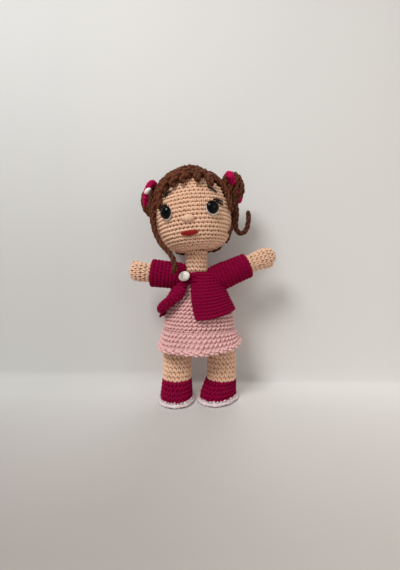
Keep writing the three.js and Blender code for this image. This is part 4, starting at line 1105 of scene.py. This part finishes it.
def hubCord(hub, outward, first, sign):  # places from the bun on, until the parting or the hairline
    s = hairSettings
    for reach in range(first, s["last"], s["step"]):
        direction = hub * math.cos(math.radians(reach)) + outward * math.sin(math.radians(reach))
        local = headUnturn @ direction
        spot = inHair(direction)
        atFringe = local.y < 0.12 and local.z > 0.4 and local.x < 0.5
        if local.x * sign < (s["parting"] if local.z > -0.2 else s["nape"]) or spot is None or atFringe:
            return
        yield spot[0] + spot[1] * s["sunk"] * mm


capWork = {side: Work() for side in sides}
for side, sign in sides.items():
    hub = (headFrame @ (Vector(bunPlaces[side]) * mm) - headMiddle).normalized()
    aside = hub.cross(headTurn @ Vector((0, 0, 1))).normalized()
    other = hub.cross(aside).normalized()
    for k in range(hairSettings["cords"]):
        angle = math.tau * (k + 0.5) / hairSettings["cords"]
        outward = aside * math.cos(angle) + other * math.sin(angle)
        first = hairSettings["between"] if k % 2 else hairSettings["tieReach"]
        places = list(hubCord(hub, outward, first, sign))
        if len(places) > 2:
            line = toLine(places, max(12, len(places) * 3))
            radius, scale = hairSettings["radius"], hairSettings["scale"]
            ropeCord(capWork[side], line, radius, scale=scale, shown=clearOfBead)

# The wig's base cloth under them: rings of corners from the crown down, where the cap is
baseSettings = {
    "rings": 25, "columns": 48, "down": 130, "ringShift": 0.37, "columnShift": 0.3,
    "under": 1.0, "thick": 1.2, "crown": 2.0,
}
s = baseSettings
form = bmesh.new()
cells = {}
for i in range(s["rings"]):
    for j in range(s["columns"]):
        elevation = 90 - s["down"] * (i + s["ringShift"]) / s["rings"]
        hit = inHair(towards(360 * (j + s["columnShift"]) / s["columns"], elevation))
        if hit:
            cells[i, j] = form.verts.new(hit[0] - hit[1] * s["under"] * mm)
tip = form.verts.new(onHead(towards(0, 90), s["crown"]))
for i, j in list(cells):
    k = (j + 1) % s["columns"]
    corners = [cells.get(key) for key in ((i, j), (i + 1, j), (i + 1, k), (i, k))]
    if all(corners):
        form.faces.new(corners)
for j in range(s["columns"]):
    form.faces.new((tip, cells[0, j], cells[0, (j + 1) % s["columns"]]))
dropLoose(form)
bmesh.ops.recalc_face_normals(form, faces=form.faces)
# no depth marks, so the yarn material gives this cloth painted shade, seen between the stitches
wigBase = formPiece(form, "wig_base", yarn["hair_yarn"])
thicken(wigBase, s["thick"])
place(wigBase, "head", "hair_yarn", ["wig_cap"])
for side in sides:
    capWork[side].make(side + "_wig_cords", "hair_yarn", "head")

# Fringe and side strands: azimuth, elevation and lift of their places. The front ones run on over the crown.
headCords = {
    "fringe_curl_1": ([(-22, 43, -0.4), (-30, 37.5, 0.4), (-35.5, 29, 1), (-36, 19.5, 0.6)], 3.9, True),
    "fringe_curl_2": ([(-8, 44, -1), (-15, 39, 0), (-20, 32, 0.8), (-22, 23.5, 0.6)], 3.8, True),
    "fringe_curl_3": ([(8, 44, -1.8), (1, 39, -0.6), (-4, 33.5, 0.6), (-6.5, 27, 0.6)], 3.6, True),
    "fringe_curl_4": ([(28, 43, -2.2), (20, 38.5, -0.8), (16, 33, 0.6), (16, 26, 0.6)], 3.8, True),
    "fringe_curl_5": ([(44, 40, -2), (38.5, 36, -0.5), (35, 29, 0.6), (35.5, 20, 0.6)], 3.8, True),
    "right_side_strand": (
        [(-33, 43, 0.6), (-41, 35, 1.2), (-45, 24, 1), (-46, 12, 0.6), (-45.5, -2, 0.6)], 3.3, True,
    ),
    "left_side_strand": (
        [(51, 40, 0), (58, 32, 0.6), (63, 21, 0.6), (66, 10, 0.6), (67, -1, 0.6), (68, -12, 0.6)], 2.9, False,
    ),
    "right_crown": ([
        (-46, 46, 1.2), (-57, 40, 1.4), (-61, 28, 1), (-62, 14, 0.6), (-62, 0, 0.6),
        (-64, -12, 0.6), (-68, -24, 0.6), (-72, -34, 0.6),
    ], 3, True),
}
crownSettings = {"axis": (-0.86, 0.36, 0.36), "step": 8, "sunk": -3.4, "sink": 0.7, "back": 0.25, "tip": 0.8}
ropeRadius = 2.8  # at which the rope's lobes have their own size
s = crownSettings
step = turned(s["step"], headTurn @ Vector(s["axis"]).normalized(), 3)
for name, (spots, radius, overCrown) in headCords.items():
    places = [onHead(towards(azimuth, elevation), lift + radius) for azimuth, elevation, lift in spots]
    onward = towards(*spots[0][:2])
    sunk = spots[0][2]
    while overCrown and (headUnturn @ onward).y < s["back"]:
        onward = step @ onward
        sunk = max(sunk - s["sink"], s["sunk"])
        places.insert(0, onHead(onward, sunk + radius))
    places.append(places[-1] + (places[-1] - places[-2]).normalized() * radius * s["tip"] * mm)
    work = Work()
    ropeCord(work, toLine(places, 12 + 4 * len(places)), radius, scale=radius / ropeRadius)
    work.make(name + "_yarn", "hair_yarn", "head", [name] if name in frame["nodes"] else [])
s = {"spots": ((79, -28), (76, -35), (70, -41)), "lift": 1.8, "radius": 1.2, "scale": 0.43}
work = Work()
thinLine = toLine([onHead(towards(*spot), s["lift"]) for spot in s["spots"]], 24)
ropeCord(work, thinLine, s["radius"], scale=s["scale"])
work.make("left_thin_strand_yarn", "hair_yarn", "head", ["left_thin_strand"])

# Buns: cords laid from pole to pole, and a crocheted tie round each
bunSettings = {
    "cords": 11, "radius": 2.8, "twist": 0.35,
    "tieRadius": 12.2, "tieThick": 3.4, "tieX": 43.5, "tieTilt": 22,
}
tiePlaces = {"right": (2, 63.6), "left": (-3, 60.4)}  # y and height
for side, sign in sides.items():
    work = Work()
    centre = Vector(bunPlaces[side])
    inner = Vector([size - bunSettings["radius"] * 0.9 for size in bunSizes])
    for k in range(bunSettings["cords"]):
        places = []
        for share in np.linspace(-80, 80, 12):
            e = math.radians(share)
            twist = math.tau * k / bunSettings["cords"] + bunSettings["twist"] * math.sin(e)
            out = Vector((math.cos(twist) * math.cos(e), math.sin(twist) * math.cos(e), math.sin(e)))
            places.append(headFrame @ ((centre + inner * out) * mm))
        ropeCord(work, toLine(places, 26), bunSettings["radius"])
    rise = np.linspace(-math.pi / 2 + 0.05, math.pi / 2 - 0.05, 16)
    x, y, z = centre * mm
    wide, deep, high = inner * mm
    heights = z + high * np.sin(rise)
    ground = ovalGround(headFrame, heights, wide * np.cos(rise), deep * np.cos(rise), columns=24, x=x, y=y)
    lining(work, ground, lift=0, rows=12, columns=20)
    work.make(side + "_bun_yarn", "hair_yarn", "head", [side + "_bun"])
    tie = Work()
    tilt = turned(90 - sign * bunSettings["tieTilt"], "Y")
    middle = Matrix.Translation(Vector((sign * bunSettings["tieX"], *tiePlaces[side])) * mm)
    r = bunSettings["tieRadius"] * mm
    line = []
    for a in np.linspace(0, math.tau, 65):
        spot = tilt @ Vector((r * math.cos(a), r * math.sin(a), 0))
        if side == "left":  # its lower part is under the bun's cords
            spot.y += (9 * mm - 0.45 * spot.y) * min(1, max(0, (7 * mm - spot.z) / (6 * mm)))
        line.append(headFrame @ middle @ spot)
    ground = tubeGround(line, bunSettings["tieThick"] * mm, facing=headTurn @ Vector((0, 0, 1)))
    lining(tie, ground, lift=-1.2, rows=64, columns=16)
    crochet(tie, ground, "fine", lift=-0.6)
    # the tie is magenta yarn, drawn in its brighter copy with painted light
    tie.make(side + "_hair_tie_yarn", "tie_yarn", "head", [side + "_hair_tie"], slot="magenta_yarn")
print("hair is ready")


# Smooth hard pieces are spun from a profile of radius and height, then set in place
def spunPiece(name, profile, matrix, slot, replaced, steps=40):
    form = bmesh.new()
    verts = [form.verts.new((radius * mm, 0, height * mm)) for radius, height in profile]
    edges = [form.edges.new(pair) for pair in zip(verts, verts[1:])]
    bmesh.ops.spin(
        form, geom=verts + edges, cent=(0, 0, 0), axis=(0, 0, 1), angle=math.tau, steps=steps, use_merge=True
    )
    bmesh.ops.remove_doubles(form, verts=form.verts, dist=1e-6)
    bmesh.ops.recalc_face_normals(form, faces=form.faces)
    bmesh.ops.transform(form, matrix=matrix, verts=form.verts)
    return place(formPiece(form, name, plain[slot]), "head", slot, replaced)


def onFace(x, z, lift=0.0):  # a place on the face from local x and height in millimetres, with its normal
    start = headFrame @ Vector((x * mm, -0.3, z * mm))
    spot, normal, _, _ = headTree.ray_cast(start, headTurn @ Vector((0, 1, 0)))
    return spot + normal * lift * mm, normal


def onFaceOver(x, z, spread):  # the same over a hole, from the places round it
    around = [onFace(x + spread * math.cos(a), z + spread * math.sin(a)) for a in turnsOf(8)]
    middle = sum((spot for spot, _ in around), Vector()) / 8
    normal = sum((normal for _, normal in around), Vector()).normalized()
    return middle + normal * 0.3 * mm, normal


eyeSettings = {
    "x": 20.3, "height": 33.6, "radius": 6, "dome": 3.8, "rim": 0.9, "base": 1.4, "stem": 2.1, "stemEnd": -8,
    "white": 6.5, "shift": 0.55, "hole": 2.4, "felt": (0.35, 0.75, 1.15),
}
for side, sign in sides.items():
    s = eyeSettings
    spot, normal = onFaceOver(sign * s["x"], s["height"], 4)
    matrix = Matrix.Translation(spot) @ normal.to_track_quat("Z", "Y").to_matrix().to_4x4()
    top = s["base"] + s["rim"]
    profile = [
        (s["radius"] * math.sin(a), top + s["dome"] * math.cos(a)) for a in np.linspace(0, math.pi / 2, 16)
    ] + [
        (s["radius"], s["base"] + 0.3), (s["radius"] - 0.3, s["base"]),
        (s["stem"], s["base"]), (s["stem"], s["stemEnd"]), (0, s["stemEnd"]),
    ]
    spunPiece(side + "_eye_dome", profile, matrix, "eye_plastic", [side + "_eye"])
    down = matrix.inverted().to_3x3() @ (headTurn @ Vector((sign * s["shift"], 0, -s["shift"])))
    shift = matrix @ Matrix.Translation(Vector((down.x, down.y, 0)) * mm)
    back, middle, front = s["felt"]
    profile = [
        (s["hole"], back), (s["white"] - 0.5, back), (s["white"], middle), (s["white"] - 0.4, front),
        (s["hole"], front), (s["hole"], back),
    ]
    spunPiece(side + "_eye_felt", profile, shift, "white_felt", [side + "_eye_white"])

# Lashes and brows, as shares of the head's half width and height
headWide, headTall = 38.6, 83.5
faceThreads = {
    "right_lashes": [
        [(0.5, 0.49), (0.57, 0.49), (0.645, 0.483)],
        [(0.56, 0.482), (0.64, 0.472), (0.72, 0.452)],
    ],
    "left_lashes": [
        [(0.56, 0.492), (0.66, 0.492), (0.775, 0.483)],
        [(0.62, 0.481), (0.69, 0.464), (0.77, 0.438)],
    ],
    "right_brow": [[(0.37, 0.632), (0.482, 0.614), (0.575, 0.582)]],
    "left_brow": [[(0.446, 0.64), (0.56, 0.613), (0.658, 0.572)]],
}
for name, paths in faceThreads.items():
    wide = sides[name.split("_")[0]] * headWide
    work = Work()
    for path in paths:
        thread(work, [onFace(wide * out, headTall * up, 1.5)[0] for out, up in path], 0.78, ends=0.2)
    work.make(name + "_thread", "black_thread", "head", [name])

# Nose and mouth, in satin stitches
s = {"x": -1.2, "height": 25.6, "wide": 6.2, "high": 2.72, "lift": 2.1, "threads": 9, "radius": 0.6}
work = Work()
for k in range(s["threads"]):
    share = (k + 0.5) / s["threads"] * 2 - 1
    across = math.sqrt(1 - share**2)
    places = []
    for t in np.linspace(-1, 1, 9):
        out = math.sqrt(max(0, 1 - share**2 - (t * across) ** 2)) * s["lift"]
        places.append(onFace(s["x"] + s["wide"] * across * t, s["height"] + s["high"] * share, out)[0])
    thread(work, places, s["radius"], ends=0.5)
work.make("nose_satin", "skin_yarn", "head", ["nose"])

s = {
    "x": -1.4, "height": 13, "wide": 7.5, "high": 2.6, "threads": 22, "radius": 0.5,
    "along": [0, 0.2, 0.4, 0.5, 0.6, 0.8, 1],
    "top": [0.5, 0.7, 0.84, 0.84, 0.86, 0.84, 0.64],
    "bottom": [0.36, 0.7, 0.95, 1, 0.95, 0.7, 0.3],
}
work = Work()
for k in range(s["threads"]):
    along = (k + 0.5) / s["threads"]
    x = s["x"] + s["wide"] * (2 * along - 1)
    low, high = -np.interp(along, s["along"], s["bottom"]), np.interp(along, s["along"], s["top"])
    ups = np.linspace(low, high, 5)
    places = [onFace(x, s["height"] + s["high"] * up, 1.3 - 0.4 * abs(up))[0] for up in ups]
    thread(work, places, s["radius"], ends=0.6)
work.make("mouth_satin", "red_yarn", "head", ["mouth"])


# Pearl button, and the bead on the doll's right hair tie. seat gives a bead's middle from its reach.
def pearlPiece(name, node, body, settings, turns, seat):
    form = bmesh.new()
    bmesh.ops.create_uvsphere(form, u_segments=settings["columns"], v_segments=settings["rows"], radius=1)
    bmesh.ops.scale(form, verts=form.verts, vec=[settings[key] * mm for key in ("long", "deep", "high")])
    for turn in turns:
        bmesh.ops.rotate(form, verts=form.verts, matrix=turn)
    reach = Vector([max(vert.co[i] for vert in form.verts) for i in range(3)])
    bmesh.ops.translate(form, verts=form.verts, vec=seat(reach))
    place(formPiece(form, name, plain["pearl"]), body, "pearl", [node])


def buttonSeat(reach):
    low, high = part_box("pearl_button")
    return (low.x + reach.x, low.y + reach.y, (low.z + high.z) / 2)


def beadSeat(reach):  # forward of its node, so that it shows past the hair
    return beadMiddle + Vector((-2.2, -3, 0.4)) * mm


buttonSettings = {"long": 5.7, "high": 4.7, "deep": 3.1, "columns": 40, "rows": 24}
beadSettings = {"long": 4, "high": 2.5, "deep": 2.5, "columns": 32, "rows": 20}
turns = [turned(-22, "Y", 3), turned(-20, "Z", 3)]
pearlPiece("pearl_button_bead", "pearl_button", "torso", buttonSettings, turns, buttonSeat)
pearlPiece("hair_bead_glossy", "hair_bead", "head", beadSettings, [turned(-35, "Y", 3), headTurn], beadSeat)
print("face, button and bead are ready")

# The nodes that stay, inside the doll or on it
staying = {
    "filling": plain["polyester_filling"], "washer": plain["washer_plastic"], "shoulder": yarn["skin_yarn"],
    "sole": yarn["magenta_yarn"], "loop": yarn["magenta_yarn"],
}
for name, node in frame["nodes"].items():
    for key, material in staying.items():
        if key in name and not node.hide_render:
            node.data.materials.clear()
            node.data.materials.append(material)

# Floor and the wall close behind the doll, one pale sweep, with painted light: darker near the camera and
# towards the doll's right, lighter on the wall and towards its left. It can be looked and lit through from
# behind.
stageSettings = {"half": 1.6, "near": -1.6, "wall": 0.0475, "bend": 0.012, "top": 1.4}
s = stageSettings
profile = [(s["near"], 0), (s["wall"] - s["bend"], 0)]
for a in np.linspace(0, math.pi / 2, 12)[1:]:
    profile.append((s["wall"] - s["bend"] + s["bend"] * math.sin(a), s["bend"] * (1 - math.cos(a))))
profile.append((s["wall"], s["top"]))
form = bmesh.new()
left, right = [
    [form.verts.new((x, y + dollMiddle.y, z)) for y, z in profile] for x in (-s["half"], s["half"])
]
for i in range(len(profile) - 1):
    form.faces.new((left[i], right[i], right[i + 1], left[i + 1]))
material, tree, shader, spot = newMaterial("sweep")
parts = tree.nodes.new("ShaderNodeSeparateXYZ")
tree.links.new(spot, parts.inputs[0])
# painted light: the sweep darker towards the doll's right and lighter towards its left
across = mathNode(tree, "MULTIPLY_ADD", parts.outputs["X"], 2.6, 0.45)
# painted light: the floor darker towards the camera, the wall lighter
away = mathNode(tree, "MULTIPLY_ADD", parts.outputs["Y"], 6.0, 0.95)
floorPaintedLight = mixNode(tree, across, (160, 152, 148), (212, 206, 200))
wallPaintedLight = mixNode(tree, across, (208, 207, 204), (236, 233, 228))
tree.links.new(mixNode(tree, away, floorPaintedLight, wallPaintedLight), shader.inputs["Base Color"])
shader.inputs["Roughness"].default_value = 0.7
behind = tree.nodes.new("ShaderNodeNewGeometry").outputs["Backfacing"]
rays = tree.nodes.new("ShaderNodeLightPath").outputs
through = tree.nodes.new("ShaderNodeBsdfTransparent").outputs[0]
unseen = mathNode(tree, "MAXIMUM", behind, rays["Is Shadow Ray"])
mixShaders(tree, unseen, shader.outputs[0], through, "Material Output")
formPiece(form, "sweep", material)

# Light: a wide lamp from above the head and the doll's right, a weaker one from the other side
lamps = {
    "key": {"place": (-0.32, -0.52, 0.64), "size": 0.28, "power": 4.1},
    "side": {"place": (0.6, -0.6, 0.35), "size": 0.5, "power": 0.8},
    "back": {"place": (0.2, 0.8, 0.6), "size": 0.6, "power": 2.5},
}
aim = Vector((0, 0, 0.12))
for name, s in lamps.items():
    data = bpy.data.lights.new(name, "AREA")
    data.size = s["size"]
    data.energy = s["power"]
    lamp = bpy.data.objects.new(name, data)
    lamp.location = s["place"]
    lamp.rotation_euler = (Vector(s["place"]) - aim).to_track_quat("Z", "Y").to_euler()
    bpy.context.scene.collection.objects.link(lamp)
world = bpy.data.worlds.new("world")
bpy.context.scene.world = world
world.use_nodes = True
tree = world.node_tree
light, shown = tree.nodes["Background"], tree.nodes.new("ShaderNodeBackground")
for node, tint, strength in ((light, (1, 0.985, 0.965, 1), 0.3), (shown, (0.64, 0.63, 0.6, 1), 1.0)):
    node.inputs["Color"].default_value = tint
    node.inputs["Strength"].default_value = strength
rays = tree.nodes.new("ShaderNodeLightPath").outputs
mixShaders(tree, rays["Is Camera Ray"], light.outputs[0], shown.outputs[0], "World Output")

print("all pieces are made")
